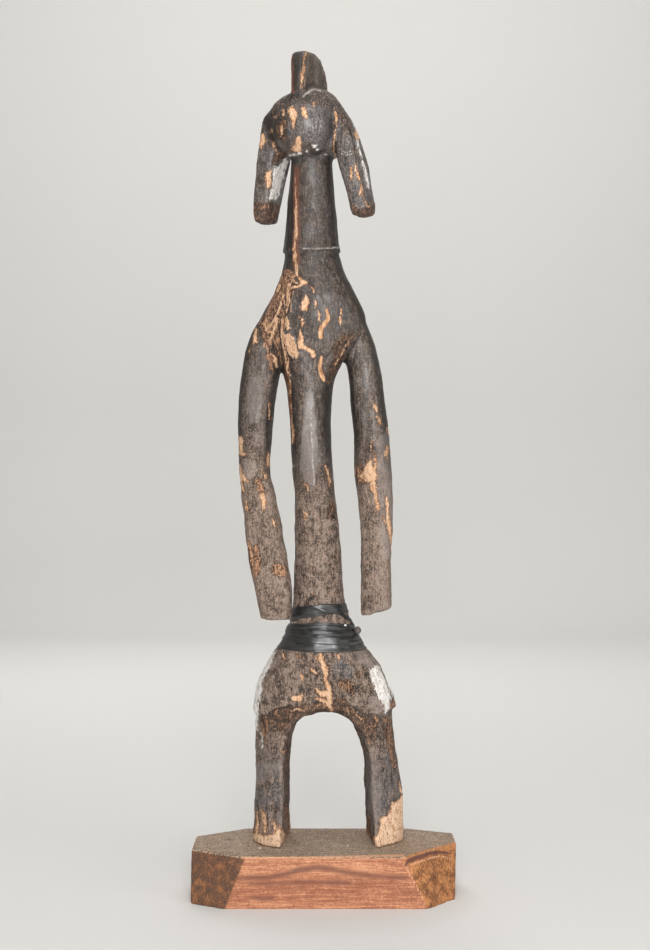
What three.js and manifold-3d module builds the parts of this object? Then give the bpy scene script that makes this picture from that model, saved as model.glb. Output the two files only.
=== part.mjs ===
// A standing figure carved from one log, bound at the waist with rubber strip, on a sawn timber plinth.
// Millimetres, +Z up. The front faces -Y and +X is the viewer's right.
// The origin is under the middle of the plinth.

import * as THREE from "three";
import { mergeVertices } from "three/addons/utils/BufferGeometryUtils.js";
import Module from "manifold-3d";

const wasm = await Module();
wasm.setup();

// Heights above the ground.
const PLINTH_HEIGHT = 56;
const CONTACT_GAP = 0.3;
const SOLE = PLINTH_HEIGHT + CONTACT_GAP;
const ARCH_TOP = 203;
const HIP_LEDGE = 203.5;
const WAIST = 303;
const ARMPIT = 584;
const COLLAR = 711;
const CHIN = 816;
const CREST_TOP = 932.5;

// The plinth: a short length of plank with its four corners sawn off aslant.
const PLINTH_WIDTH = 292;
const PLINTH_DEPTH = 141;

// The neck and head stand on this axis, and the head is turned to the viewer's left.
const NECK_X = -15;
const HEAD_TURN = -24;

// The torso and arms are turned less, and the feet the other way.
const CHEST_TURN = -12;
const HIP_TURN = -6;
const FEET_TURN = 5;

const FIGURE_COLOUR = 0x5b4a40;
const RUBBER_COLOUR = 0x2b2a29;
const PLINTH_COLOUR = 0xb9774f;

// A three.js geometry as a solid that can be cut and joined.
function solidOf(geometry) {
  const bare = new THREE.BufferGeometry().setAttribute("position", geometry.getAttribute("position"));
  bare.setIndex(geometry.getIndex());
  const merged = mergeVertices(bare, 1e-3);
  return new wasm.Manifold(
    new wasm.Mesh({
      numProp: 3,
      vertProperties: merged.getAttribute("position").array,
      triVerts: new Uint32Array(merged.getIndex().array),
    }),
  );
}

// The solid's own faces as a three.js geometry.
function geometryOf(solid) {
  const mesh = solid.getMesh();
  const geometry = new THREE.BufferGeometry();
  geometry.setAttribute("position", new THREE.BufferAttribute(mesh.vertProperties, 3));
  geometry.setIndex(new THREE.BufferAttribute(mesh.triVerts, 1));
  geometry.computeVertexNormals();
  return geometry;
}

// A section is a rounded outline: its four half sizes run left, right, front and back from its centre,
// square 2 is an ellipse and more is boxier, turn is in degrees and slope lifts its right side.
const SECTION_KEYS = ["x", "y", "left", "right", "front", "back", "square", "turn", "slope"];

function fullSection(section) {
  return {
    y: 0,
    left: section.wide,
    right: section.wide,
    front: section.deep,
    back: section.deep,
    square: 2,
    turn: 0,
    slope: 0,
    ...section,
  };
}

// The section at any height, by a smooth curve through the named ones.
function sectionCurve(sections) {
  const full = sections.map(fullSection);
  const curve = new THREE.CubicInterpolant(
    full.map((section) => section.z),
    full.flatMap((section) => SECTION_KEYS.map((key) => section[key])),
    SECTION_KEYS.length,
  );
  return (z) => {
    const values = curve.evaluate(z);
    return Object.fromEntries([["z", z], ...SECTION_KEYS.map((key, i) => [key, values[i]])]);
  };
}

function sectionPoint(section, angle, grow) {
  const c = Math.cos(angle);
  const s = Math.sin(angle);
  const power = 2 / section.square;
  const across = ((c < 0 ? section.left : section.right) + grow) * Math.sign(c) * Math.abs(c) ** power;
  const along = ((s < 0 ? section.front : section.back) + grow) * Math.sign(s) * Math.abs(s) ** power;
  const turn = THREE.MathUtils.degToRad(section.turn);
  return [
    section.x + across * Math.cos(turn) - along * Math.sin(turn),
    section.y + across * Math.sin(turn) + along * Math.cos(turn),
    section.z + across * section.slope,
  ];
}

// A closed skin over the sections, which run upwards, with flat ends.
function loft(sections, { sides = 24, steps = 3, grow = 0, from, to } = {}) {
  const curve = sectionCurve(sections);
  const heights = [];
  sections.slice(1).forEach((section, i) => {
    const below = sections[i].z;
    for (let k = 0; k < steps; k++) heights.push(below + ((section.z - below) * k) / steps);
  });
  heights.push(sections.at(-1).z);
  const low = from ?? heights[0];
  const high = to ?? heights.at(-1);
  const kept = [low, ...heights.filter((z) => z > low + 1 && z < high - 1), high];
  const points = [];
  const faces = [];
  for (const z of kept) {
    const section = curve(z);
    for (let i = 0; i < sides; i++) points.push(...sectionPoint(section, (2 * Math.PI * i) / sides, grow));
  }
  for (let ring = 0; ring < kept.length - 1; ring++) {
    for (let i = 0; i < sides; i++) {
      const a = ring * sides + i;
      const b = ring * sides + ((i + 1) % sides);
      faces.push(a, b, b + sides, a, b + sides, a + sides);
    }
  }
  const last = (kept.length - 1) * sides;
  for (let i = 1; i < sides - 1; i++) {
    faces.push(0, i + 1, i);
    faces.push(last, last + i, last + i + 1);
  }
  const geometry = new THREE.BufferGeometry();
  geometry.setAttribute("position", new THREE.Float32BufferAttribute(points, 3));
  geometry.setIndex(faces);
  return geometry;
}

// Feet and legs, whose inner sides are cut by the arch. Their top is inside the hips.
const LEGS = [
  { z: SOLE, x: 4, y: 12, left: 85, right: 85, front: 56, back: 50, turn: FEET_TURN },
  { z: 80, x: 4, y: 12, left: 84, right: 84.5, front: 51, back: 44, turn: FEET_TURN },
  { z: 107, x: 4, y: 12, left: 82.5, right: 84, front: 45, back: 31, turn: FEET_TURN },
  { z: 133, x: 3, y: 12, left: 81, right: 80.5, front: 47, back: 35, turn: 3 },
  { z: 156, x: 1.5, y: 11, left: 79.5, right: 78.5, front: 51, back: 44, turn: 1, square: 2.1 },
  { z: 182, x: 0, y: 10, left: 77.3, right: 76.3, front: 48, back: 47, turn: -2, square: 2.2 },
  { z: 206, x: -0.5, y: 9, left: 76.3, right: 74.3, front: 45.5, back: 47.5, turn: -4, square: 2.3 },
  { z: 225, x: -1.5, y: 8.5, left: 70, right: 68, front: 42, back: 43, turn: HIP_TURN, square: 2.3 },
];

// Hips, waist and chest. The hips end in a ledge that stands out over the legs, higher on its right.
const BODY = [
  { z: HIP_LEDGE, x: -0.5, y: 9, wide: 80.6, front: 46, back: 48, turn: -4, square: 2.3, slope: 0.03 },
  { z: 218, x: -1, y: 8.5, wide: 77.5, front: 45.5, back: 47, turn: -5, square: 2.4, slope: 0.01 },
  { z: 232, x: -2, y: 8, left: 73.5, right: 73, front: 44, back: 44, turn: HIP_TURN, square: 2.4 },
  { z: 250, x: -2.5, y: 7, left: 65.5, right: 66, front: 41, back: 40, turn: HIP_TURN, square: 2.3 },
  { z: 268, x: -3.3, y: 6, left: 54, right: 53, front: 38, back: 35, turn: HIP_TURN, square: 2.15 },
  { z: 285, x: -3.9, y: 5, wide: 42.5, front: 34, back: 31, turn: HIP_TURN },
  { z: WAIST, x: -5, y: 4, wide: 34, deep: 29, turn: HIP_TURN },
  { z: 320, x: -6.6, y: 3, wide: 28.6, deep: 27, turn: HIP_TURN },
  { z: 350, x: -7.3, y: 2, wide: 27, deep: 26, turn: HIP_TURN },
  { z: 400, x: -8.8, y: 1, wide: 24.4, deep: 24.4, turn: -8 },
  { z: 450, x: -11.8, wide: 22.4, deep: 23.4, turn: -10 },
  { z: 500, x: -15.6, wide: 22.2, deep: 23.2, turn: CHEST_TURN },
  { z: 549, x: -17, wide: 23.8, deep: 25, turn: CHEST_TURN },
  { z: 570, x: -17, wide: 27, deep: 27.5, turn: CHEST_TURN },
  { z: ARMPIT + 6, x: -16, wide: 36, deep: 30, turn: CHEST_TURN },
  { z: 606, x: -15.5, wide: 47, deep: 31.5, turn: CHEST_TURN },
  { z: 624, x: -15, wide: 60, deep: 32, turn: CHEST_TURN },
  { z: 642, x: -14, wide: 59, deep: 32.5, turn: CHEST_TURN },
  { z: 661, x: -12, wide: 49, deep: 32.5, turn: CHEST_TURN },
  { z: 680, x: -13, wide: 39.5, deep: 31, turn: CHEST_TURN },
  { z: 696, x: -14, wide: 33, deep: 29.5, turn: CHEST_TURN },
  { z: COLLAR + 5, x: -14.5, wide: 29, deep: 28, turn: CHEST_TURN },
];

// The mesh of the body's skin, which the rubber strip follows facet for facet.
const BODY_MESH = { sides: 30, steps: 2 };

const LEFT_ARM = [
  { z: 306, x: -54, y: -20, wide: 17.2, deep: 15 },
  { z: 328, x: -55.5, y: -20, wide: 19, deep: 16.5 },
  { z: 352, x: -59, y: -16, wide: 21.5, deep: 17.5 },
  { z: 384, x: -65, y: -10, wide: 20.6, deep: 17.5 },
  { z: 420, x: -70.6, y: -2, wide: 19.5, deep: 17.5 },
  { z: 453, x: -76, y: 6, wide: 18.2, deep: 18 },
  { z: 466, x: -78.8, y: 9, wide: 16.8, deep: 18.5 },
  { z: 500, x: -78.6, y: 11, wide: 18.4, deep: 18.5 },
  { z: 540, x: -76.8, y: 11, wide: 20, deep: 19 },
  { z: 571, x: -73, y: 10, wide: 21, deep: 20 },
  { z: 606, x: -67, y: 9, wide: 21, deep: 20.5 },
  { z: 634, x: -58.5, y: 9, wide: 18, deep: 17 },
  { z: 652, x: -49, y: 8, wide: 14, deep: 13 },
  { z: 666, x: -42, y: 7, wide: 9, deep: 8 },
].map((section) => ({ square: 2.5, turn: CHEST_TURN, ...section }));

const RIGHT_ARM = [
  { z: 314, x: 57, y: -20, wide: 16.8, deep: 15, slope: 0.27 },
  { z: 340, x: 56.6, y: -19, wide: 16.6, deep: 16, slope: 0.1 },
  { z: 366, x: 56.2, y: -17, wide: 16.5, deep: 16.5 },
  { z: 401, x: 57, y: -14, wide: 17.2, deep: 17 },
  { z: 437, x: 56, y: -11, wide: 19.2, deep: 18 },
  { z: 473, x: 52.6, y: -9, wide: 20.2, deep: 18.5 },
  { z: 508, x: 51.8, y: -9, wide: 19.5, deep: 18.5 },
  { z: 544, x: 47.6, y: -9, wide: 18.4, deep: 19 },
  { z: 580, x: 43.6, y: -9, wide: 18, deep: 19.5 },
  { z: 606, x: 37.2, y: -8.5, wide: 19, deep: 19.5 },
  { z: 626, x: 31, y: -8, wide: 18, deep: 17 },
  { z: 648, x: 22.5, y: -7, wide: 14.5, deep: 13 },
  { z: 664, x: 15, y: -5, wide: 9, deep: 8 },
].map((section) => ({ square: 2.5, turn: CHEST_TURN, ...section }));

// The opening between the legs: its outline across the figure, cut right through.
// It widens steadily to the front, and more at the lip, where the front edge is dressed back.
function archCutter() {
  const low = SOLE - 20;
  const reach = 90;
  const widening = 0.1;
  const lip = { start: 27, depth: 15, growth: 0.006 };
  const outline = new THREE.Shape();
  outline.moveTo(-45, low);
  outline.lineTo(53, low);
  outline.lineTo(48.5, 136);
  outline.bezierCurveTo(47, 180, 26, ARCH_TOP + 0.6, 2, ARCH_TOP);
  outline.bezierCurveTo(-22, ARCH_TOP, -43, 192, -43, 150);
  outline.closePath();
  const extrusion = { depth: 2 * reach, steps: 12, bevelEnabled: false, curveSegments: 9 };
  const geometry = new THREE.ExtrudeGeometry(outline, extrusion);
  geometry.rotateX(Math.PI / 2).translate(0, reach, 0);
  const position = geometry.getAttribute("position");
  for (let i = 0; i < position.count; i++) {
    const forward = -position.getY(i);
    const scale = 1 + lip.growth * THREE.MathUtils.clamp(forward - lip.start, 0, lip.depth);
    const side = THREE.MathUtils.clamp(position.getX(i) / 40, -1, 1);
    position.setX(i, position.getX(i) * scale + side * widening * forward);
    position.setZ(i, SOLE + (position.getZ(i) - SOLE) * scale);
  }
  return geometry;
}

// The neck and the crest both end inside the head.
const INSIDE_HEAD = 850;

// The neck flares down to a collar that stands proud of the chest.
function neck() {
  const profile = [
    [0, COLLAR],
    [31.4, COLLAR],
    [31, 717],
    [28.8, 738],
    [26.8, 760],
    [24.8, 783],
    [23.4, 808],
    [23, CHIN],
    [22, INSIDE_HEAD],
    [0, INSIDE_HEAD],
  ].map(([radius, z]) => new THREE.Vector2(radius, z));
  return new THREE.LatheGeometry(profile, 28).rotateX(Math.PI / 2).translate(NECK_X, 0, 0);
}

// The head's own frame has its face to -Y. Its pieces are turned together on the neck's axis.
const FACE_BALL = { y: -20, z: 849, wide: 36.5, deep: 31, high: 33 };
const SKULL = [
  { z: 818, x: 0, y: 4, wide: 20, deep: 20 },
  { z: 822, x: 0, y: 4, wide: 34, deep: 27 },
  { z: 830, x: 0, y: 3, wide: 43, deep: 32 },
  { z: 845, x: -1.5, y: 1, wide: 50, deep: 35 },
  { z: 856, x: -3, y: -1, wide: 51, deep: 36 },
  { z: 866, x: -4.5, y: -4, wide: 46.5, deep: 36 },
  { z: 875, x: -3, y: -6, wide: 40, deep: 33 },
  { z: 884, x: -0.5, y: -8, wide: 30.5, deep: 26 },
  { z: 890, x: 2.5, y: -8, wide: 18.5, deep: 18 },
  { z: 893, x: 4, y: -8, wide: 8, deep: 9 },
];

// Each ear is a long flap: its height, how far its middle stands out and back, and its half width and depth.
const earFlap = (side, sizes) =>
  sizes.map(([z, out, y, wide, deep]) => ({ z, x: side * out, y, wide, deep, square: 4 }));
const LEFT_EAR = earFlap(-1, [
  [750, 59.8, 6, 9, 14],
  [754, 59.9, 6, 10.4, 17],
  [761, 59.4, 6, 11, 18],
  [771, 57.8, 6, 11.5, 19],
  [786, 55.5, 6, 12, 20.5],
  [800, 53, 6, 12.5, 21.5],
  [817, 50.2, 5, 13.5, 23],
  [833, 46.5, 3, 13, 22.5],
  [848, 44.2, 0, 12, 22],
  [860, 42.5, -2, 11, 20],
  [869, 39.5, -4, 9, 16],
  [877, 35, -5, 5, 9],
]);
const RIGHT_EAR = earFlap(1, [
  [750, 60.5, 4, 9, 13],
  [754, 60.9, 4, 10.4, 15.8],
  [760, 60.8, 4, 10.9, 16.8],
  [775, 57.3, 4, 11.3, 17.8],
  [791, 53.1, 4, 12, 19],
  [807, 49.1, 4, 12.6, 20],
  [827, 44.8, 2, 12, 19.5],
  [844, 41.5, 0, 10.5, 18],
  [856, 38, -2, 8.5, 15],
  [866, 34, -3, 5, 9],
]);

// The crest is an upright fin, flat in front and rounded down behind, with its front top corner worn off.
function crest() {
  const thick = 13.4;
  const edge = 0.9;
  const front = -40;
  const back = 29.5;
  const top = CREST_TOP - edge;
  const outline = new THREE.Shape();
  outline.moveTo(front, INSIDE_HEAD);
  outline.lineTo(back - 6, INSIDE_HEAD);
  outline.lineTo(back, 880);
  outline.bezierCurveTo(back, 911, 22, top, -7, top);
  outline.lineTo(front + 15, top - 1);
  outline.quadraticCurveTo(front, top - 3.5, front, top - 14);
  outline.closePath();
  const geometry = new THREE.ExtrudeGeometry(outline, {
    depth: thick,
    bevelThickness: edge,
    bevelSize: edge,
    bevelSegments: 1,
    curveSegments: 8,
  });
  const upright = new THREE.Matrix4().makeBasis(
    new THREE.Vector3(0, 1, 0),
    new THREE.Vector3(0, 0, 1),
    new THREE.Vector3(1, 0, 0),
  );
  return geometry.translate(0, 0, -thick / 2).applyMatrix4(upright);
}

function head() {
  const ball = new THREE.SphereGeometry(1, 22, 12);
  ball.scale(FACE_BALL.wide, FACE_BALL.high, FACE_BALL.deep).rotateX(Math.PI / 2);
  ball.translate(0, FACE_BALL.y, FACE_BALL.z);
  const parts = [
    ball,
    loft(SKULL, { sides: 28, steps: 1 }),
    loft(LEFT_EAR, { sides: 20, steps: 1 }),
    loft(RIGHT_EAR, { sides: 20, steps: 1 }),
    crest(),
  ];
  const turn = THREE.MathUtils.degToRad(HEAD_TURN);
  return parts.map((part) => part.rotateZ(turn).translate(NECK_X, 0, 0));
}

function figure() {
  const hipsAndLegs = solidOf(loft(BODY, BODY_MESH)).add(solidOf(loft(LEGS, BODY_MESH)));
  const body = hipsAndLegs.subtract(solidOf(archCutter()));
  const added = [
    loft(LEFT_ARM, { sides: 18, steps: 2 }),
    loft(RIGHT_ARM, { sides: 18, steps: 2 }),
    neck(),
    ...head(),
  ];
  return geometryOf(added.reduce((whole, part) => whole.add(solidOf(part)), body));
}

// A slab across the waist that keeps one band of the rubber.
// It can be tipped up on its right, raised in front and moved along X.
function bandSlab({ z, height, tip = 0, nod = 0, x = 0, width = 200 }) {
  const depth = 200;
  const geometry = new THREE.BoxGeometry(width, depth, height);
  geometry.rotateY(THREE.MathUtils.degToRad(-tip)).rotateX(THREE.MathUtils.degToRad(-nod));
  return solidOf(geometry.translate(x, 0, z));
}

// The rubber strip: a sleeve on the waist's own sections, kept as a wide wrap of several turns,
// one narrow band above it and the run that crosses between them on the right of the front.
function waistBinding() {
  const thick = 2;
  const low = 262;
  const high = 330;
  const inside = CONTACT_GAP;
  const outside = CONTACT_GAP + thick;
  const sleeve = solidOf(loft(BODY, { ...BODY_MESH, grow: outside, from: low, to: high }));
  const wood = solidOf(loft(BODY, { ...BODY_MESH, grow: inside, from: low - 1, to: high + 1 }));
  const lowerWrap = bandSlab({ z: 282.5, height: 27 }).add(bandSlab({ z: 292.5, height: 13, nod: 8 }));
  const upperBand = bandSlab({ z: 314, height: 11.5, tip: 7, nod: 6 });
  const rightFront = solidOf(new THREE.BoxGeometry(60, 100, 28).translate(22, -50, 305));
  const crossing = bandSlab({ z: 308.5, height: 5.5, tip: -46, x: 23, width: 60 }).intersect(rightFront);
  const bands = lowerWrap.add(upperBand).add(crossing);
  return geometryOf(sleeve.subtract(wood).intersect(bands));
}

// A slanting corner cut, as a big block whose face passes through three points of the cut.
function cornerCut(a, b, c) {
  const points = [a, b, c].map(([x, y, z]) => new THREE.Vector3(x, y, z));
  const plane = new THREE.Plane().setFromCoplanarPoints(...points);
  if (plane.distanceToPoint(new THREE.Vector3(0, 0, PLINTH_HEIGHT / 2)) > 0) plane.negate();
  const size = 400;
  const block = new THREE.BoxGeometry(size, size, size).translate(0, 0, size / 2);
  const turn = new THREE.Quaternion().setFromUnitVectors(new THREE.Vector3(0, 0, 1), plane.normal);
  const foot = plane.coplanarPoint(new THREE.Vector3());
  return block.applyQuaternion(turn).translate(foot.x, foot.y, foot.z);
}

function plinth() {
  const side = PLINTH_WIDTH / 2;
  const face = PLINTH_DEPTH / 2;
  const top = PLINTH_HEIGHT;
  const block = new THREE.BoxGeometry(PLINTH_WIDTH, PLINTH_DEPTH, top).translate(0, 0, top / 2);
  const cuts = [
    cornerCut([-89, -face, top], [-side, -36, top], [-111, -face, 0]),
    cornerCut([87, -face, top], [side, 0, top], [112, -face, 0]),
    cornerCut([-90, face, top], [-side, 30, top], [-94, face, 0]),
    cornerCut([94, face, top], [side, 46, top], [98, face, 0]),
  ];
  return geometryOf(cuts.reduce((whole, cut) => whole.subtract(solidOf(cut)), solidOf(block)));
}

// One named mesh for each separate piece of the object.
function piece(name, geometry, color, roughness) {
  const material = new THREE.MeshStandardMaterial({ color, roughness, metalness: 0, flatShading: true });
  const mesh = new THREE.Mesh(geometry, material);
  mesh.name = name;
  return mesh;
}

const group = new THREE.Group();
group.add(
  piece("figure", figure(), FIGURE_COLOUR, 0.6),
  piece("waist_binding", waistBinding(), RUBBER_COLOUR, 0.45),
  piece("plinth", plinth(), PLINTH_COLOUR, 0.8),
);

export default group;
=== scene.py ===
"""Looks of a carved standing figure, bound at the waist with rubber strip, on a sawn plank plinth."""

import itertools
import math

import bmesh
import bpy
import numpy as np
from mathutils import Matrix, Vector
from mathutils.bvhtree import BVHTree


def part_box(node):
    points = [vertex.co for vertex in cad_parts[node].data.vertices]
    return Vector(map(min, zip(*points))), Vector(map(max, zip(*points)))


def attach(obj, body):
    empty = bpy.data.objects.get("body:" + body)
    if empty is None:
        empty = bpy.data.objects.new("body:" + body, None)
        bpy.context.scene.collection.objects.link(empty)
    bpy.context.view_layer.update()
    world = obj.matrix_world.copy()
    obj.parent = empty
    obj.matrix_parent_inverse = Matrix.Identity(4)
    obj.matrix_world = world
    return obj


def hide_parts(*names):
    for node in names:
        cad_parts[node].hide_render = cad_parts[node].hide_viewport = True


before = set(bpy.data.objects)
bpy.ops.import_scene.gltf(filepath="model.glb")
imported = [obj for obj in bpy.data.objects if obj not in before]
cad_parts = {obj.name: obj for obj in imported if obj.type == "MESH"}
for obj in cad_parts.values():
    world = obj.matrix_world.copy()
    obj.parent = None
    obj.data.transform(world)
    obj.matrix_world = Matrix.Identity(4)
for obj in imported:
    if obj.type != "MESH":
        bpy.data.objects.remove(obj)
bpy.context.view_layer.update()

MM = 0.001

# The photograph's view: its focal length and centre in pixels, and where its eye stands, in metres.
FOCAL = 1600.0
CENTRE_U = 325.0
CENTRE_V = 475.0
EYE = np.array([0.0, -1.784, 0.465])

# Marks on the wood are given as the photograph shows them, in its pixels. A stroke is a run of
# (across, down, half width), and a patch is an outline of (across, down).
BARE_STROKES = {
    "crest_edge": [(306, 52, 0.9), (303.5, 62, 0.9), (303, 72, 1.5), (302.5, 80, 1.6), (301.5, 89, 0.8)],
    "crest_left": [(291, 71, 0.6), (291.5, 77, 1.4), (290.5, 82, 0.9), (290.5, 90, 0.7)],
    "dome_fleck": [(314, 102, 1.0), (314, 106, 0.8)],
    "brow_fleck": [(283, 111, 1.2), (284, 115, 1.2)],
    "brow_line": [(274, 117, 0.6), (278, 115.5, 0.7)],
    "cheek_fleck": [(272, 129, 0.7), (272, 133, 0.8)],
    "flap_ridge_high": [(334, 109, 0.6), (335.6, 112, 1.2), (336.2, 116, 1.1), (335.6, 124, 0.6), (334.8, 131, 0.5)],
    "flap_ridge_low": [(334.4, 131, 0.6), (334, 142, 0.7), (333.6, 151, 0.7), (335.5, 158, 0.8), (338, 166, 0.5)],
    "branch": [(300.6, 331, 1.3), (301.6, 337, 2.4), (300.4, 344, 2.6), (300.6, 348, 2.2)],
    "branch_foot": [(300.6, 347.6, 2.2), (306, 349, 2.1), (311.6, 351.6, 2.6), (313.4, 356, 1.7)],
    "left_foot_streak": [(256, 811, 0.5), (257, 822, 1.2), (256.6, 833, 1.6)],
    "left_foot_streak_second": [(263, 809, 0.4), (264.4, 819, 1.3), (265, 832, 1.8)],
    "left_foot_streak_third": [(272.4, 819, 0.6), (275, 826, 1.5), (276, 832, 1.5)],
    "left_ear_edge": [(262, 134, 1.2), (262.3, 141, 2.7), (261.3, 147, 1.2)],
    "left_ear_line": [(272, 142, 0.7), (274, 148, 0.6), (277, 154, 0.5)],
    "right_ear_short": [(350.5, 168, 0.9), (351.5, 173, 1.5), (352.5, 178, 1.0)],
    "right_ear_long": [(355.5, 165, 0.7), (356.5, 172, 1.2), (358.5, 180, 0.8)],
    "right_ear_low": [(360.5, 185, 0.8), (361.5, 190, 1.5), (359.5, 195, 0.7)],
    "right_ear_tail": [(362, 193, 0.6), (364.5, 200, 0.6), (368.5, 207, 0.5)],
    "neck_streak": [(294.6, 238, 0.5), (294.8, 247, 1.1), (295.6, 256, 1.2), (296, 262, 0.8)],
    "collar_fork": [(297, 271, 0.9), (299, 277, 0.9), (302, 282, 1.2)],
    "collar_fork_left": [(301, 285, 1.1), (296, 287, 1.1), (291, 288.5, 0.8)],
    "collar_bar": [(289, 275, 0.7), (293, 278, 0.9), (297, 276, 0.8)],
    "chest_tick": [(310, 286, 0.6), (313, 288.5, 1.0), (314.5, 291.5, 0.7)],
    "chest_line_high": [(314.5, 300, 0.6), (315.6, 304, 1.0), (315, 307.5, 0.6)],
    "chest_line_low": [(318.3, 311, 0.6), (319.5, 315.5, 1.0), (319.5, 320, 0.6)],
    "chest_dash": [(340.8, 310, 0.5), (341.3, 313.5, 0.7)],
    "chest_dash_low": [(340.2, 317, 0.7), (340, 321, 1.2), (340, 324.5, 0.8)],
    "loop_outer": [(299, 317.5, 0.6), (302, 318, 0.7), (304, 322, 0.6), (302, 326, 0.6)],
    "loop_inner": [(300.5, 320, 0.5), (303, 325.5, 0.5)],
    "shoulder_line": [(254, 342, 0.5), (251, 348, 0.4), (248, 353, 0.4)],
    "torso_left": [(289, 376, 0.4), (291, 400, 0.4), (292.3, 424, 0.8), (293.5, 435, 1.3), (293.3, 442, 0.6)],
    "torso_right": [(325.5, 466, 0.6), (327.3, 473, 1.1), (328.6, 480, 0.9), (330, 486, 0.5)],
    "torso_crescent": [(304.5, 483, 0.5), (307.5, 486, 0.9), (307, 491, 0.5)],
    "torso_tick": [(303.5, 512, 0.6), (306, 515, 0.9), (305, 519, 0.5)],
    "left_arm_crack_side": [(269.6, 403, 0.6), (269.6, 419, 0.8)],
    "left_arm_inner": [(263.5, 472, 1.1), (265.5, 478, 1.4)],
    "left_arm_edge_low": [(241.5, 483, 0.8), (243.2, 491, 1.2)],
    "left_arm_stripe": [(246, 500, 0.8), (247, 506, 1.2), (247, 511, 0.7)],
    "left_arm_dab": [(273, 520, 1.0), (274, 525, 1.4)],
    "left_arm_low_edge": [(249, 543, 0.8), (251, 556, 1.0), (252, 566, 0.7)],
    "right_arm_high": [(374.5, 404, 0.9), (377, 410, 1.5)],
    "right_arm_second": [(377.5, 417, 1.2), (380, 424, 1.2)],
    "right_arm_edge": [(388, 427, 0.9), (389.3, 434, 1.5)],
    "right_arm_fine": [(372.5, 440, 0.5), (371, 452, 0.5)],
    "right_arm_lower": [(386, 498, 1.0), (387, 510, 1.7), (388.5, 524, 2.0), (391, 538, 1.4), (392, 552, 0.8)],
    "right_arm_dab": [(382.5, 517, 1.0), (385, 522, 1.1)],
    "hip_dab_left": [(282.5, 655, 0.9), (284.5, 658, 1.3)],
    "hip_dab_mid": [(297, 656, 0.5), (302, 658, 0.6)],
    "hip_dab_right": [(337.5, 655, 0.9), (338.6, 658, 0.8)],
    "hip_comma": [(311.5, 669, 1.0), (314.5, 672, 1.4), (318, 673.5, 0.8)],
    "hip_tick": [(302, 675.5, 0.7), (303.8, 681, 0.7)],
    "belly_top_left": [(315.5, 657, 1.2), (320, 659, 1.6)],
    "belly_top": [(321, 653, 1.2), (322, 660, 2.0), (324.6, 667, 2.7), (325.4, 675, 2.0)],
    "belly_middle": [(325.4, 675, 2.0), (327, 682, 2.1), (329.6, 690, 2.6), (329.2, 698, 3.2)],
    "belly_low": [(329.2, 698, 3.0), (329.6, 705, 2.5), (331.2, 711, 2.0)],
    "belly_branch": [(316.5, 689, 0.9), (320, 693, 2.2), (325, 695, 3.0), (329, 693, 2.4)],
    "belly_branch_low": [(317, 699, 0.9), (321, 700, 1.8), (325, 702, 1.8), (328, 706, 1.6)],
    "leg_fleck": [(281, 750, 0.8), (282.6, 752.5, 1.3)],
    "right_leg_fleck": [(374, 717, 0.9), (377, 722, 1.2)],
    "right_leg_edge": [(399.5, 784, 0.8), (401.5, 792, 1.2)],
}
BARE_PATCHES = {
    "brow_left": [(288.8, 108.4), (292, 106.4), (295.6, 109), (297, 113), (296.4, 118), (295.6, 124), (295, 130),
                  (293.2, 129), (292.4, 121), (289.6, 116)],
    "brow_right": [(302, 107), (305, 106.5), (307, 112), (308.6, 117), (306, 119), (304, 117), (302, 113)],
    "temple": [(281.4, 124.4), (283.2, 128), (282.8, 134), (281, 136.6), (279.8, 131)],
    "mouth": [(297, 137), (300, 136), (301.4, 141), (301, 147), (302.6, 150.5), (300.6, 154), (297, 152.4),
              (293, 151), (291, 149.6), (294.6, 147), (295.4, 141)],
    "left_ear_face": [(266.5, 171), (272, 170), (271.6, 180), (271, 188), (266.5, 188), (266, 180)],
    "right_ear_edge": [(355, 129), (358, 129), (361, 137), (359, 140.5), (355, 139.5), (354, 135)],
    "collar_triangle": [(299.5, 282.5), (304, 280.5), (307, 283), (305, 285.7), (300.5, 286)],
    "teardrop": [(305.5, 294), (307.6, 298), (308.6, 304), (308, 309.5), (305, 311), (302, 310.5),
                 (300.5, 307), (301, 303), (303, 299)],
    "shoulder": [(256, 328), (258, 330), (257.6, 338), (256.4, 343), (253.6, 342.4), (254, 335)],
    "left_arm_high_edge": [(238, 434), (242, 438), (243.4, 443), (243.2, 451), (247, 454), (242, 455.5), (238, 453)],
    "left_arm_scar_foot": [(238, 463), (240.6, 464), (242, 472), (245.5, 477), (250, 480), (249, 483),
                           (243, 481.5), (238, 480)],
    "left_arm_drop": [(268, 452), (269.4, 456), (268.6, 464), (267, 468), (265.4, 465), (265, 459)],
    "left_arm_long": [(260.4, 491), (264, 492), (266.3, 500), (265.8, 508), (263.4, 512), (260.8, 505)],
    "right_arm_edge_long": [(386, 444), (388.4, 448), (388.6, 456), (387, 461), (385, 456)],
    "right_arm_tear": [(374.8, 452), (376.6, 456), (376, 468), (377, 478), (376.4, 488), (377.6, 498),
                       (379, 506), (378, 514), (376.4, 508), (374.6, 500), (374, 494), (371.6, 488),
                       (371, 482), (366, 482), (363, 478), (357, 476), (357, 473), (361, 474), (364, 471),
                       (365, 466), (368, 462), (371, 459), (372, 464), (373.4, 470)],
    "hip_block": [(290, 697), (293, 695), (299, 694.4), (303, 696), (303, 701), (298, 701.6), (294, 701)],
    "right_foot": [(406, 789), (401, 797), (397, 801), (391, 802), (390, 810), (388, 815), (380, 817.6),
                   (380, 826), (378, 833), (372, 839), (374, 851), (394, 850), (410, 844)],
    "left_foot": [(252, 833), (258, 833), (264, 836), (272, 835), (277, 829), (284, 829), (287, 834),
                  (288, 850), (252, 850)],
}
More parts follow.
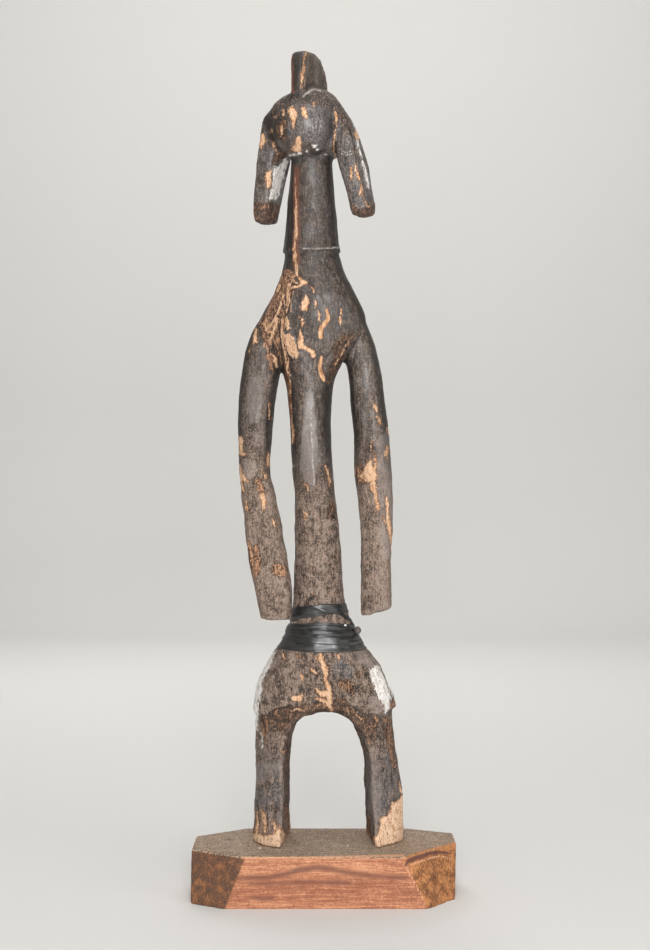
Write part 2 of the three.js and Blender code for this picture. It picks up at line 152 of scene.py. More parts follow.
GALLERIES = {
    "chest_high": [(326.3, 309.5, 1.3), (328, 315, 1.9), (328, 319, 2.2), (325, 323, 2.5), (321.6, 327, 2.4),
                   (320.5, 332, 2.3), (320.6, 337.5, 1.9)],
    "chest_low": [(321.6, 357, 1.3), (320.6, 362, 1.8), (319.6, 367, 1.9), (320.6, 372, 2.0),
                  (322.6, 377, 2.2), (324, 380.5, 1.4)],
}
KAOLIN_STROKES = {
    "chin_left": [(289.4, 155, 0.9), (290.6, 155.2, 0.9)],
    "chin_left_second": [(293.4, 154.6, 0.8), (294.4, 154, 0.8)],
    "chin_middle": [(297, 153.8, 0.7), (300.4, 152.8, 0.8)],
    "chin_speck": [(306.4, 150.6, 0.7), (307.6, 150, 0.8)],
    "chin_heart": [(312.8, 145.4, 0.8), (314.2, 146.8, 0.9), (315.6, 145.4, 0.8)],
    "chin_right": [(316.6, 149, 0.6), (318, 148.6, 0.7)],
    "right_ear_high": [(352, 121, 0.7), (355, 126, 1.0)],
    "right_ear_upper": [(356.6, 141, 0.9), (357.4, 147, 0.9)],
    "right_ear_dots": [(358.6, 150, 0.7), (360.6, 157, 0.9)],
    "right_ear_main": [(361.6, 161, 0.7), (364, 169, 1.6), (365.8, 177, 1.4), (368.6, 187.5, 0.8)],
    "left_leg_streak": [(257, 714, 1.4), (257, 724, 1.1), (258, 730, 0.7)],
    "left_leg_low": [(262, 733, 0.9), (262.6, 747, 0.7)],
    "torso_speck": [(292, 464.5, 0.7), (292.4, 466.5, 0.7)],
}
KAOLIN_PATCHES = {
    "left_ear_inner": [(275, 166), (281, 162), (286, 158), (288.4, 160.5), (284.4, 168), (283.4, 175), (281.4, 185),
                       (279.4, 193), (276, 199), (272, 201), (270, 198), (271, 190), (273, 181), (274, 172)],
    "left_hip": [(275, 652), (271.6, 655), (267, 660), (264, 667), (260, 675), (257, 684), (254, 695), (252, 706),
                 (252, 714), (258, 714), (259.4, 700), (261.4, 688), (265, 678), (268, 671), (271.4, 665),
                 (274, 658), (277, 652)],
    "right_hip": [(370, 668), (376, 666), (380.6, 667), (383, 674), (384.6, 681), (387.6, 688), (390.4, 696),
                  (390, 704), (388, 710), (385.6, 714.6), (383, 708), (380, 700), (376.6, 692), (372.6, 685),
                  (371, 678)],
    "right_hip_strip": [(384.6, 669), (388.6, 676), (391.4, 684), (394.4, 692), (393, 698), (389.6, 691),
                        (386.4, 682)],
}
# Cracks and grooves, painted dark; ridge_shadow is a painted shadow beside the right ear flap's front edge.
CRACKS_AND_SHADOW_LINES = {
    "left_arm_scar": [(244, 457, 0.3), (253, 458.5, 0.4), (258, 462, 0.4), (259, 470, 0.4), (256, 477, 0.4),
                      (251, 480, 0.3)],
    "left_arm": [(267.5, 398, 0.4), (268, 420, 0.7), (267, 434, 0.8), (267, 447, 0.4)],
    "armpit_crease": [(361, 333, 0.8), (354, 344, 1.1), (347.5, 355, 1.3), (343.4, 364, 1.2), (343, 371, 1.0)],
    "armpit_second": [(354.6, 351, 0.6), (353, 362, 0.8), (350, 371, 0.8)],
    "chest_split": [(279.4, 317, 0.4), (280, 333, 0.7), (280, 345, 0.7), (282, 356, 0.9), (282.4, 367, 1.0)],
    "chest_groove_high": [(285, 289, 0.4), (285.5, 300, 0.6), (284, 310, 0.5), (286, 318, 0.5)],
    "chest_groove_outer": [(280.5, 299, 0.4), (276, 312, 0.6), (270, 322, 0.5)],
    "chest_left_edge": [(292, 291, 0.5), (290.6, 303, 0.6), (288, 311, 0.6)],
    "scrape_foot": [(286.6, 353, 0.4), (291, 361, 0.5)],
    "scrape_side": [(296, 337, 0.3), (297.6, 350, 0.4)],
    "face_edge_right": [(332.6, 107, 0.5), (338, 113, 0.5), (343, 122, 0.4), (350, 131, 0.6), (353, 142, 0.4)],
    "ridge_shadow": [(333, 131, 0.4), (332.6, 142, 0.5), (333, 151, 0.5)],
    "hip_edge_left": [(266, 717, 0.4), (271, 711, 0.7), (279, 708.4, 0.9), (287, 707.4, 0.7), (291, 704.4, 0.4)],
    "hip_edge_right": [(344, 698.6, 0.4), (352, 706, 0.6), (360, 712, 0.7), (370, 716.6, 0.5), (378, 723.4, 0.7)],
    "hip_left_line": [(280, 664, 0.3), (283, 680, 0.5), (284, 690, 0.3)],
    "right_hip_line": [(382.4, 668.6, 0.2), (384.8, 680.6, 0.4), (388.6, 690.4, 0.5), (391.6, 698, 0.3)],
    "foot_left_a": [(257, 800, 0.4), (258.4, 815, 0.7), (258, 824, 0.4)],
    "foot_left_b": [(260.4, 810, 0.3), (260.4, 818, 0.4)],
    "foot_left_c": [(267, 812, 0.4), (267.8, 820, 0.7), (267.6, 827, 0.4)],
    "leg_left_edge": [(262, 715, 0.4), (264, 724, 0.6), (266, 735, 0.3)],
    "torso_knot": [(331.4, 516, 0.6), (334.6, 518, 0.8), (333, 515, 0.5), (336, 512, 0.4)],
    "neck_groove": [(293, 168, 0.4), (292.8, 185, 0.8), (292.4, 205, 0.8), (292, 228, 0.7), (291, 246, 0.4)],
    "neck_thin": [(289.6, 232, 0.3), (288.8, 244, 0.5), (288.4, 250, 0.4)],
}
WORN_PATCHES = {
    "chest_left": [(280, 272), (288, 268), (296, 272), (292, 290), (291, 305), (287, 320), (284, 335), (287, 352),
                   (293, 372), (288, 378), (282, 366), (278, 368), (271, 371), (262, 345), (260, 325), (268, 305)],
    "right_hip_face": [(337, 681), (345, 680), (352, 683), (352, 689), (357, 692), (353, 695), (345, 691), (339, 688)],
    "right_hip_fleck": [(355, 671), (359, 671), (359, 678), (356, 678)],
    "right_ledge": [(391, 697), (398, 699), (398, 703), (392, 707), (389, 707)],
    "arm_tear_side": [(355, 466), (364, 463), (366, 484), (356, 482)],
    "left_arm_low": [(247, 545), (258, 545), (262, 560), (259, 576), (250, 578)],
    "left_arm_fingers": [(272, 564), (286, 566), (288, 576), (274, 576)],
    "left_arm_middle": [(256, 480), (263, 478), (264, 492), (258, 494)],
    "left_foot_inner": [(283, 806), (291, 806), (292, 834), (285, 834)],
    "right_heel": [(361, 818), (371, 816), (373, 840), (362, 838)],
    "left_foot_front": [(252, 809), (262, 809.5), (266, 811), (267.4, 818), (270, 816), (275, 817), (278, 822),
                        (282, 825), (285, 832), (286, 850), (250, 850)],
    "left_thigh": [(262, 716), (268, 716), (270, 724), (266, 740), (262, 745)],
    "right_leg_side": [(384, 716), (392, 720), (396, 745), (396, 775), (390, 760), (386, 738)],
}
BRUISED_PATCHES = {
    "armpit_web": [(334, 341), (350, 331), (360, 332), (356, 342), (347, 354), (340, 366), (333, 380), (328, 385),
                   (325, 377), (332, 360)],
    "arch_band": [(265, 718), (270, 712), (276, 709), (286, 708), (290, 704), (303, 703), (318, 703), (325, 700),
                  (335, 698), (345, 699), (350, 704), (356, 711), (366, 715), (372, 718), (378, 724), (376, 732),
                  (370, 745), (360, 732), (352, 722), (344, 716), (334, 713), (322, 713), (308, 716), (298, 720),
                  (291, 728), (288, 738), (280, 732), (270, 726)],
    "left_ear_foot": [(250, 205), (262, 203), (282, 204), (276, 226), (250, 226)],
    "right_ear_foot": [(350, 206), (364, 207), (372, 203), (378, 205), (376, 219), (350, 219)],
    "left_ear_root": [(276, 152), (287, 150), (288, 157), (280, 161), (274, 165), (270, 163), (272, 158)],
    "left_cheek": [(277, 122), (288, 120), (288, 139), (279, 139), (274, 130)],
    "torso_knot": [(326, 508), (333, 503), (339, 508), (339, 518), (333, 521), (326, 519)],
    "left_leg_inner": [(283, 738), (291, 742), (291, 806), (284, 806)],
    "right_leg_inner": [(360, 735), (366, 745), (367.6, 818), (360, 818)],
}
SPLINTERS = {
    "from_neck": [(296, 262, 0.9), (296.5, 271, 1.0), (291, 284, 1.1), (287.5, 292, 1.2), (286, 305, 0.9)],
    "beside_it": [(289.5, 283, 0.6), (288.5, 293, 0.8), (289, 303, 0.6), (286.5, 314, 0.8)],
    "outer": [(283, 293, 0.6), (280.5, 305, 0.9), (278, 314, 1.2), (272, 322, 1.5), (266, 330, 1.1)],
    "outer_fork": [(277, 318, 0.9), (274, 329, 1.3), (271, 338, 1.0), (270, 345, 0.5)],
    "outer_hook": [(268, 318, 0.8), (265, 324, 1.2), (267, 331, 0.9), (272, 333, 0.7)],
    "long_ridge": [(281.5, 318, 0.6), (282, 335, 0.8), (283.8, 348, 0.8), (285.8, 362, 0.9), (288, 372, 0.9),
                   (290, 379, 0.5)],
    "block": [(287, 317, 1.6), (287.6, 323, 2.6), (288, 329, 1.6)],
    "armpit": [(271.5, 354, 0.8), (275, 361, 1.8), (277.5, 367, 1.2)],
    "armpit_inner": [(289, 361, 0.9), (287, 369, 1.0), (291, 375, 0.7)],
    "inner_edge": [(293, 292, 0.6), (291.2, 301, 0.7), (291.6, 312, 0.6)],
    "edge_fleck": [(280, 285, 0.7), (278.5, 292, 0.8)],
    "web_right": [(352, 336, 0.2), (343, 350, 0.3), (335, 364, 0.3)],
    "collar_fill": [(292.6, 279.6, 1.1), (297, 283, 1.4)],
    "arch_fleck": [(291, 711, 0.5), (297, 709, 0.8), (303, 710, 0.5)],
    "arch_fleck_right": [(352, 708, 0.4), (358, 716, 0.6), (362, 719, 0.5)],
    "neck_groove": [(295.6, 172, 0.1), (295.8, 190, 0.5), (296.2, 206, 0.9), (296, 222, 1.3), (295.8, 238, 1.3)],
}
SPLINTER_PATCHES = {
    "pale_scrape": [(281.4, 332), (284, 330.6), (286, 335), (289, 333.4), (294, 338), (296, 345), (297.4, 350),
                    (299.2, 353), (298.6, 357.6), (296.4, 358.4), (294.6, 354.6), (294, 358.8), (289.6, 355),
                    (286.4, 350), (285.4, 343), (282.6, 341)],
    "chest_left_block": [(285.4, 321), (287, 318), (289.6, 320), (289.4, 326), (290.6, 329), (287.4, 330),
                         (285.2, 327)],
}
RED_PATCHES = {
    "neck_groove": [(293, 166), (299, 166), (300, 200), (300, 268), (293.6, 268), (292.6, 200)],
    "crest_front_edge": [(290, 56), (293, 52), (294, 70), (293.5, 94), (290, 94)],
    "armpit": [(284, 372), (289, 372), (291, 402), (293, 430), (289, 430), (286, 400)],
}
MOTTLED_PATCHES = {
    "brow_left": [(262, 108), (276, 98), (291, 93), (296, 104), (290, 112), (290, 124), (288, 138), (280, 140),
                  (272, 150), (266, 132)],
    "dome": [(291, 93), (304, 97), (312, 90), (328, 94), (334, 108), (330, 112), (318, 104), (306, 106),
             (296, 104)],
    "right_flap_top": [(330, 98), (340, 102), (352, 122), (358, 140), (352, 140), (338, 112)],
}
# Darker sooty patina, and painted shade: the crest's front is sooty patina, the patches on the neck's left and right
# are the shade under the ear flaps, and the brow patch is the shade under the brow.
SOOT_AND_SHADE_PATCHES = {
    "crest_front": [(289, 46), (303, 46), (302.5, 70), (302, 97), (289, 97)],
    "neck_left": [(285, 160), (293.6, 160), (293.4, 200), (292.6, 246), (280, 250), (284, 200)],
    "neck_right": [(329, 160), (337, 160), (341, 246), (333, 246)],
    "brow_shadow": [(262, 118), (276, 110), (282, 120), (277, 140), (268, 140)],
}
# Paler handled wood, and painted highlights: the patches on the torso's facet, the upper left arm, the right hip's top,
# the right leg's facet and the left foot's front are lighter where the light catches them.
PALE_AND_HIGHLIGHT_PATCHES = {
    "left_arm_scar": [(245, 459), (252, 459), (257, 463), (258, 470), (255, 476), (251, 478), (246, 475), (243.6, 466)],
    "right_arm_outside": [(376, 440), (388, 430), (392, 480), (396, 560), (382, 560), (379, 510)],
    "left_arm_upper": [(249, 378), (261, 376), (263, 400), (259, 422), (250, 422), (247, 400)],
    "torso_facet": [(306, 392), (313, 392), (317, 440), (318.5, 462), (313, 486), (307, 484), (299.5, 466),
                    (301, 440), (304, 415)],
    "left_leg_band": [(254, 764), (281, 762), (281, 776), (268, 779), (254, 788)],
    "left_foot_front": [(253, 806), (270, 812), (287, 820), (289, 842), (254, 838)],
    "right_leg_facet": [(371, 768), (379, 758), (382, 790), (379, 822), (371, 828), (369.6, 800)],
    "right_hip_top": [(354, 652), (364, 650), (382, 664), (370, 669), (361, 664)],
    "right_hip_edge": [(366, 700), (376, 694), (381, 704), (384, 718), (376, 714)],
}
SLATE_PATCHES = {
    "face": [(304, 110), (318, 105), (332, 111), (333, 146), (318, 150), (306, 138)],
    "left_leg": [(254, 788), (266, 781), (281, 777), (283, 806), (275, 815), (266, 806), (254, 807)],
    "right_leg": [(382, 764), (388, 742), (393, 764), (390, 798), (381, 812), (378, 832), (371, 838), (380, 800)],
    "right_hip": [(332, 664), (343, 658), (353, 668), (350, 679), (337, 676)],
}
# Scratches, scuffs and dusty lines, and painted highlights: the collar's lip and the line down the middle of the torso
# are highlights.
DUST_AND_HIGHLIGHT_STROKES = {
    "right_ear_scratch": [(341, 153, 0.4), (346, 155.3, 0.5), (351.5, 154, 0.4)],
    "right_ear_scratch_high": [(341, 150.5, 0.3), (347, 152.5, 0.4), (351, 151, 0.3)],
    "neck_top": [(324, 154, 0.5), (326, 154.6, 0.8)],
    "forehead": [(312, 122, 0.2), (312.6, 131, 0.3)],
    "forehead_middle": [(315.8, 118, 0.2), (316.2, 128, 0.3)],
    "forehead_right": [(320.2, 121, 0.2), (320.6, 129, 0.3)],
    "dome_rim": [(303, 97, 0.7), (306, 94, 0.9), (310, 91, 1.0), (314, 89.5, 0.9), (320, 91, 0.6)],
    "collar_lip": [(303, 248.7, 0.5), (320, 248.9, 0.6), (338, 247.7, 0.5)],
    "right_flap_rim": [(337, 99, 0.4), (346, 110, 0.5), (354, 124, 0.5), (358, 133, 0.4)],
    "binding_top_left": [(289, 623, 0.5), (296, 622.4, 0.5)],
    "torso_line": [(311.2, 408, 0.2), (311.6, 440, 0.4), (312.6, 460, 0.5), (313.8, 474, 0.9), (313.6, 485, 0.5)],
}


def select_only(piece):
    bpy.ops.object.select_all(action="DESELECT")
    piece.select_set(True)
    bpy.context.view_layer.objects.active = piece


def apply_modifier(piece, kind, **settings):
    select_only(piece)
    modifier = piece.modifiers.new(kind.lower(), kind)
    for name, value in settings.items():
        setattr(modifier, name, value)
    bpy.ops.object.modifier_apply(modifier=modifier.name)


def copy_of_node(name, new_name):
    """A copy of a frame node with its loose triangles joined up."""
    piece = bpy.data.objects.new(new_name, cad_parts[name].data.copy())
    bpy.context.scene.collection.objects.link(piece)
    piece.data.materials.clear()
    select_only(piece)
    bpy.ops.object.mode_set(mode="EDIT")
    bpy.ops.mesh.select_all(action="SELECT")
    bpy.ops.mesh.remove_doubles(threshold=1e-5)
    bpy.ops.object.mode_set(mode="OBJECT")
    return piece


def places(piece):
    flat = np.empty(len(piece.data.vertices) * 3, np.float32)
    piece.data.vertices.foreach_get("co", flat)
    return flat.reshape(-1, 3).astype(float)


def move_to(piece, points):
    piece.data.vertices.foreach_set("co", points.astype(np.float32).ravel())
    piece.data.update()


def directions(piece):
    flat = np.empty(len(piece.data.vertices) * 3, np.float32)
    piece.data.vertex_normals.foreach_get("vector", flat)
    return flat.reshape(-1, 3).astype(float)


def store(piece, values_by_name):
    for name, values in values_by_name.items():
        attribute = piece.data.attributes.new(name, "FLOAT", "POINT")
        attribute.data.foreach_set("value", np.asarray(values, np.float32))


def ramp(values, low, high):
    """0 below low, 1 above high and smooth between. High may be the lower number."""
    t = np.clip((values - low) / (high - low), 0, 1)
    return t * t * (3 - 2 * t)


def scattered(cell, seed):
    """A number from -1 to 1 for each cell of a grid, always the same for the same cell and seed."""
    mixed = cell[:, 0] * 73856093 ^ cell[:, 1] * 19349663 ^ cell[:, 2] * 83492791 ^ seed * 2654435761
    mixed = (mixed ^ (mixed >> 13)) * 1274126177 & 0xFFFFFFFF
    return (mixed ^ (mixed >> 15) & 0xFFFF) % 65536 / 32767.5 - 1


def noise(points, size, seed, octaves=1):
    """Smooth noise from about -1 to 1, with lumps of that size, in metres, one for all axes or each."""
    total = np.zeros(len(points))
    share = 1.0
    whole = 0.0
    for octave in range(octaves):
        grid = points / (np.asarray(size, float) / 2**octave)
        cell = np.floor(grid).astype(np.int64)
        part = grid - cell
        part = part * part * (3 - 2 * part)
        for corner in itertools.product((0, 1), repeat=3):
            weight = np.prod(np.where(corner, part, 1 - part), axis=1)
            total += share * weight * scattered(cell + corner, seed + octave)
        whole += share
        share /= 2
    return total / whole


def tool_cuts(points, size, seed):
    """Shallow dishes side by side, as an adze leaves them: 0 in their middles, about 1 where they meet."""
    grid = points / np.asarray(size, float)
    cell = np.floor(grid).astype(np.int64)
    nearest = np.full(len(points), 9.0)
    for step in itertools.product((-1, 0, 1), repeat=3):
        at = cell + step
        middle = at + 0.5 + 0.42 * np.column_stack([scattered(at, seed + axis) for axis in range(3)])
        nearest = np.minimum(nearest, ((grid - middle) ** 2).sum(axis=1))
    return np.minimum(nearest / 0.6, 1.4)


def seen(points, eye=EYE, facing=1.0):
    """Where points show in a photograph, and how many metres a pixel is there."""
    depth = (points[:, 1] - eye[1]) * facing
    u = CENTRE_U + FOCAL * facing * (points[:, 0] - eye[0]) / depth
    v = CENTRE_V - FOCAL * (points[:, 2] - eye[2]) / depth
    return u, v, depth / FOCAL


def stroke_depth(u, v, stroke):
    """How many pixels inside the stroke each place is. Outside it the number is negative."""
    best = np.full(len(u), -1e3)
    for (x0, y0, w0), (x1, y1, w1) in zip(stroke, stroke[1:]):
        along = np.array([x1 - x0, y1 - y0])
        t = np.clip(((u - x0) * along[0] + (v - y0) * along[1]) / max(along @ along, 1e-9), 0, 1)
        gap = np.hypot(u - x0 - t * along[0], v - y0 - t * along[1])
        best = np.maximum(best, w0 + t * (w1 - w0) - gap)
    return best


def patch_depth(u, v, outline):
    closed = [(x, y, 0.0) for x, y in [*outline, outline[0]]]
    gap = -stroke_depth(u, v, closed)
    inside = np.zeros(len(u), bool)
    for (x0, y0, _), (x1, y1, _) in zip(closed, closed[1:]):
        if y0 != y1:
            crossing = x0 + (v - y0) * (x1 - x0) / (y1 - y0)
            inside ^= ((y0 > v) != (y1 > v)) & (u < crossing)
    return np.where(inside, gap, -gap)


MARK_REACH = 8.0


def mark_depth(u, v, strokes=None, patches=None):
    """The deepest of some marks at each place, in pixels, from -MARK_REACH up."""
    best = np.full(len(u), -MARK_REACH)
    for measure, marks in ((stroke_depth, strokes or {}), (patch_depth, patches or {})):
        for outline in marks.values():
            xs = [point[0] for point in outline]
            ys = [point[1] for point in outline]
            near = (u > min(xs) - MARK_REACH) & (u < max(xs) + MARK_REACH)
            near &= (v > min(ys) - MARK_REACH) & (v < max(ys) + MARK_REACH)
            if near.any():
                best[near] = np.maximum(best[near], measure(u[near], v[near], outline))
    return best


def facing(points, normals, eye):
    """How squarely points face the eye, from 1 down to -1."""
    sight = eye - points
    return np.einsum("ij,ij->i", sight, normals) / np.linalg.norm(sight, axis=1)


def unhidden(piece, points, normals, eye):
    """Which points the eye sees, with nothing of the piece between."""
    tree = BVHTree.FromObject(piece, bpy.context.evaluated_depsgraph_get())
    start_off = 1.5 * MM
    clear = facing(points, normals, eye) > -0.03
    target = Vector(eye)
    for i in np.flatnonzero(clear):
        start = Vector(points[i] + normals[i] * start_off)
        if tree.ray_cast(start, (target - start).normalized())[0] is not None:
            clear[i] = False
    return clear


class Net:
    """The edges of a mesh, to pass values from each vertex to the next."""

    def __init__(self, piece):
        ends = np.empty(len(piece.data.edges) * 2, np.int32)
        piece.data.edges.foreach_get("vertices", ends)
        self.first, self.second = ends.reshape(-1, 2).T
        self.count = len(piece.data.vertices)
        self.degree = np.maximum(self.total(np.ones(self.count)), 1)

    def total(self, values):
        forward = np.bincount(self.first, values[self.second], self.count)
        return forward + np.bincount(self.second, values[self.first], self.count)

    def spread(self, values, rounds):
        for _ in range(rounds):
            values = 0.5 * values + 0.5 * self.total(values) / self.degree
        return values

    def bulge(self, points, normals):
        """How far each vertex stands out from its neighbours, in edge lengths: ridges above 0, hollows below."""
        middle = np.column_stack([self.total(points[:, axis]) / self.degree for axis in range(3)])
        edges = np.linalg.norm(points[self.first] - points[self.second], axis=1)
        return np.einsum("ij,ij->i", points - middle, normals) / edges.mean()


def soften(piece, strength, rounds):
    """Smooths the mesh where strength, one number for each vertex, is high."""
    group = piece.vertex_groups.new(name="soft")
    steps = 10
    level = np.rint(np.clip(strength, 0, 1) * steps).astype(int)
    for step in range(1, steps + 1):
        group.add(np.flatnonzero(level == step).tolist(), step / steps, "REPLACE")
    apply_modifier(piece, "SMOOTH", factor=0.5, iterations=rounds, vertex_group="soft")
    piece.vertex_groups.clear()


def refine(piece, wanted):
    """Cuts each face that has a wanted corner into four."""
    select_only(piece)
    corners = np.empty(len(piece.data.loops), np.int32)
    piece.data.loops.foreach_get("vertex_index", corners)
    starts = np.empty(len(piece.data.polygons), np.int32)
    piece.data.polygons.foreach_get("loop_start", starts)
    flags = np.maximum.reduceat(wanted[corners].astype(int), starts) > 0
    bpy.ops.object.mode_set(mode="EDIT")
    bpy.ops.mesh.select_mode(type="FACE")
    bpy.ops.mesh.select_all(action="DESELECT")
    bpy.ops.object.mode_set(mode="OBJECT")
    piece.data.polygons.foreach_set("select", flags)
    bpy.ops.object.mode_set(mode="EDIT")
    bpy.ops.mesh.subdivide(number_cuts=1, smoothness=0.0)
    bpy.ops.object.mode_set(mode="OBJECT")


def smooth_faces(piece):
    piece.data.polygons.foreach_set("use_smooth", np.ones(len(piece.data.polygons), bool))


WOOD_VOXEL = 2.4 * MM
COLLAR_Z = 712.5 * MM


def carved_figure():
    """The figure's own shape with rounded tool facets, finer where the marks are."""
    piece = copy_of_node("figure", "carved_figure")
    apply_modifier(piece, "REMESH", mode="VOXEL", voxel_size=WOOD_VOXEL, use_smooth_shade=True)
    soften(piece, np.ones(len(piece.data.vertices)), 2)
    points = places(piece)
    normals = directions(piece)
    net = Net(piece)
    crisp = ramp(np.abs(net.bulge(points, normals)), 0.10, 0.20)
    crisp = np.maximum(crisp, ramp(points[:, 2], 62 * MM, 58 * MM))
    soften(piece, 1 - 0.9 * net.spread(crisp, 1), 7)
    points = places(piece)
    u, v, _ = seen(points)
    fine_marks = BARE_STROKES | GALLERIES | KAOLIN_STROKES | CRACKS_AND_SHADOW_LINES | SPLINTERS | DUST_AND_HIGHLIGHT_STROKES
    near = mark_depth(u, v, fine_marks) > -0.6
    near &= facing(points, directions(piece), EYE) > -0.03
    near |= np.abs(points[:, 2] - COLLAR_Z) < 2.5 * MM
    refine(piece, near)
    return piece


def back_marks(points, normals):
    """Insect galleries and bare flecks for the side that the photograph doesn't show, fewer than in front."""
    draw = np.random.default_rng(11)
    behind = np.flatnonzero((normals[:, 1] > 0.35) & (points[:, 2] > 0.09))
    u, v, _ = seen(points[behind], EYE * (1, -1, 1), -1.0)
    strokes = {}
    for number in range(46):
        at = draw.integers(len(behind))
        length = draw.uniform(4, 20)
        half_width = draw.uniform(0.7, 2.2)
        lean = draw.uniform(-3.5, 3.5)
        strokes[f"back_{number}"] = [(u[at], v[at], 0.4 * half_width),
                                     (u[at] + lean, v[at] + 0.5 * length, half_width),
                                     (u[at] + 0.4 * lean, v[at] + length, 0.4 * half_width)]
    return strokes


class Wire:
    """The output of a shader node. Arithmetic on it adds the Math nodes."""

    def __init__(self, finish, socket):
        self.finish = finish
        self.socket = socket

    def maths(self, operation, first, second):
        return self.finish.node("Math", {0: first, 1: second}, operation=operation)

    def __add__(self, other):
        return self.maths("ADD", self, other)

    def __sub__(self, other):
        return self.maths("SUBTRACT", self, other)

    def __rsub__(self, other):
        return self.maths("SUBTRACT", other, self)

    def __mul__(self, other):
        return self.maths("MULTIPLY", self, other)

    def __or__(self, other):
        return self.maths("MAXIMUM", self, other)

    def __and__(self, other):
        return self.maths("MINIMUM", self, other)

    __radd__ = __add__
    __rmul__ = __mul__

    def gap(self, level):
        return self.maths("ABSOLUTE", self - level, 0.0)

    def between(self, low, high):
        """0 at low and 1 at high, smooth between."""
        sockets = {"Value": self, "From Min": low, "From Max": high}
        return self.finish.node("MapRange", sockets, interpolation_type="SMOOTHSTEP")


class Finish:
    """A material in the making."""

    def __init__(self, name):
        self.material = bpy.data.materials.new(name)
        self.material.use_nodes = True
        tree = self.material.node_tree
        self.nodes = tree.nodes
        self.links = tree.links
        self.shader = self.nodes["Principled BSDF"]
        self.place = self.node("TexCoord", output="Object")
        self.patterns = 0

    def node(self, kind, sockets=None, output=0, stops=None, **settings):
        made = self.nodes.new("ShaderNode" + kind)
        for name, value in settings.items():
            setattr(made, name, value)
        if stops:
            while len(made.color_ramp.elements) < len(stops):
                made.color_ramp.elements.new(0.5)
            for element, (position, colour) in zip(made.color_ramp.elements, stops):
                element.position = position
                element.color = (*colour, 1)
        for key, value in (sockets or {}).items():
            if isinstance(value, Wire):
                self.links.new(value.socket, made.inputs[key])
            else:
                made.inputs[key].default_value = value
        return Wire(self, made.outputs[output])

    def attribute(self, name):
        return self.node("Attribute", output="Fac", attribute_name=name)

    def grains(self, size, detail=3.0, roughness=0.55, turn=(0, 0, 0), place=None):
        """Noise about 0.5 with lumps of that size, each call with a pattern of its own."""
        self.patterns += 1
        sockets = {"Vector": place or self.place, "Scale": tuple(1 / s for s in size), "Rotation": turn,
                   "Location": (7.3 * self.patterns, 0, 0)}
        place = self.node("Mapping", sockets)
        return self.node("TexNoise", {"Vector": place, "Scale": 1.0, "Detail": detail, "Roughness": roughness})

    def colours(self, share, *stops):
        """A colour from a ramp of (position, colour)."""
        return self.node("ValToRGB", {0: share}, stops=stops)

    def mix(self, share, first, second):
        def colour(value):
            return value if isinstance(value, Wire) else (*value, 1)

        sockets = {0: share, 6: colour(first), 7: colour(second)}
        return self.node("Mix", sockets, output=2, data_type="RGBA")

    def bump(self, height, distance, strength=1.0, below=None):
        sockets = {"Height": height, "Distance": distance, "Strength": strength}
        if below:
            sockets["Normal"] = below
        return self.node("Bump", sockets)

    def set(self, **sockets):
        """Sets or links the shader's sockets, named with underscores for spaces."""
        for name, value in sockets.items():
            socket = self.shader.inputs[name.replace("_", " ")]
            if isinstance(value, Wire):
                self.links.new(value.socket, socket)
            else:
                socket.default_value = value


SOOT_AND_SHADE_BLACK = (0.013, 0.010, 0.009)
SMOKED = (0.050, 0.038, 0.032)
SMOKED_BROWN = (0.118, 0.076, 0.051)
SMOKED_PALE = (0.200, 0.160, 0.132)
SLATE = (0.120, 0.108, 0.109)
SLATE_DARK = (0.054, 0.048, 0.050)
SLATE_PALE = (0.235, 0.208, 0.200)
FURROW = (0.026, 0.018, 0.014)
WEATHERED = (0.098, 0.071, 0.056)
WEATHERED_TAN = (0.195, 0.134, 0.096)
WEATHERED_PALE = (0.330, 0.252, 0.206)
DUST = (0.42, 0.36, 0.31)
SCUFFED_AND_HIGHLIGHT = (0.600, 0.540, 0.500)
HANDLED_GREY_AND_HIGHLIGHT = (0.330, 0.285, 0.265)
WORN_DARK = (0.066, 0.036, 0.024)
WORN_BROWN = (0.210, 0.106, 0.058)
WORN_TAN = (0.540, 0.290, 0.165)
REDDENED = (0.165, 0.062, 0.038)
BARE_EDGE = (0.130, 0.052, 0.024)
BARE_DEEP = (0.330, 0.150, 0.066)
BARE_ORANGE = (0.540, 0.290, 0.145)
BARE_CREAM = (0.780, 0.515, 0.335)
BARE_FOOT = (0.930, 0.660, 0.460)
KAOLIN = (0.930, 0.900, 0.870)
KAOLIN_DIRTY = (0.500, 0.420, 0.350)
CRACK_AND_SHADOW_DARK = (0.016, 0.010, 0.008)


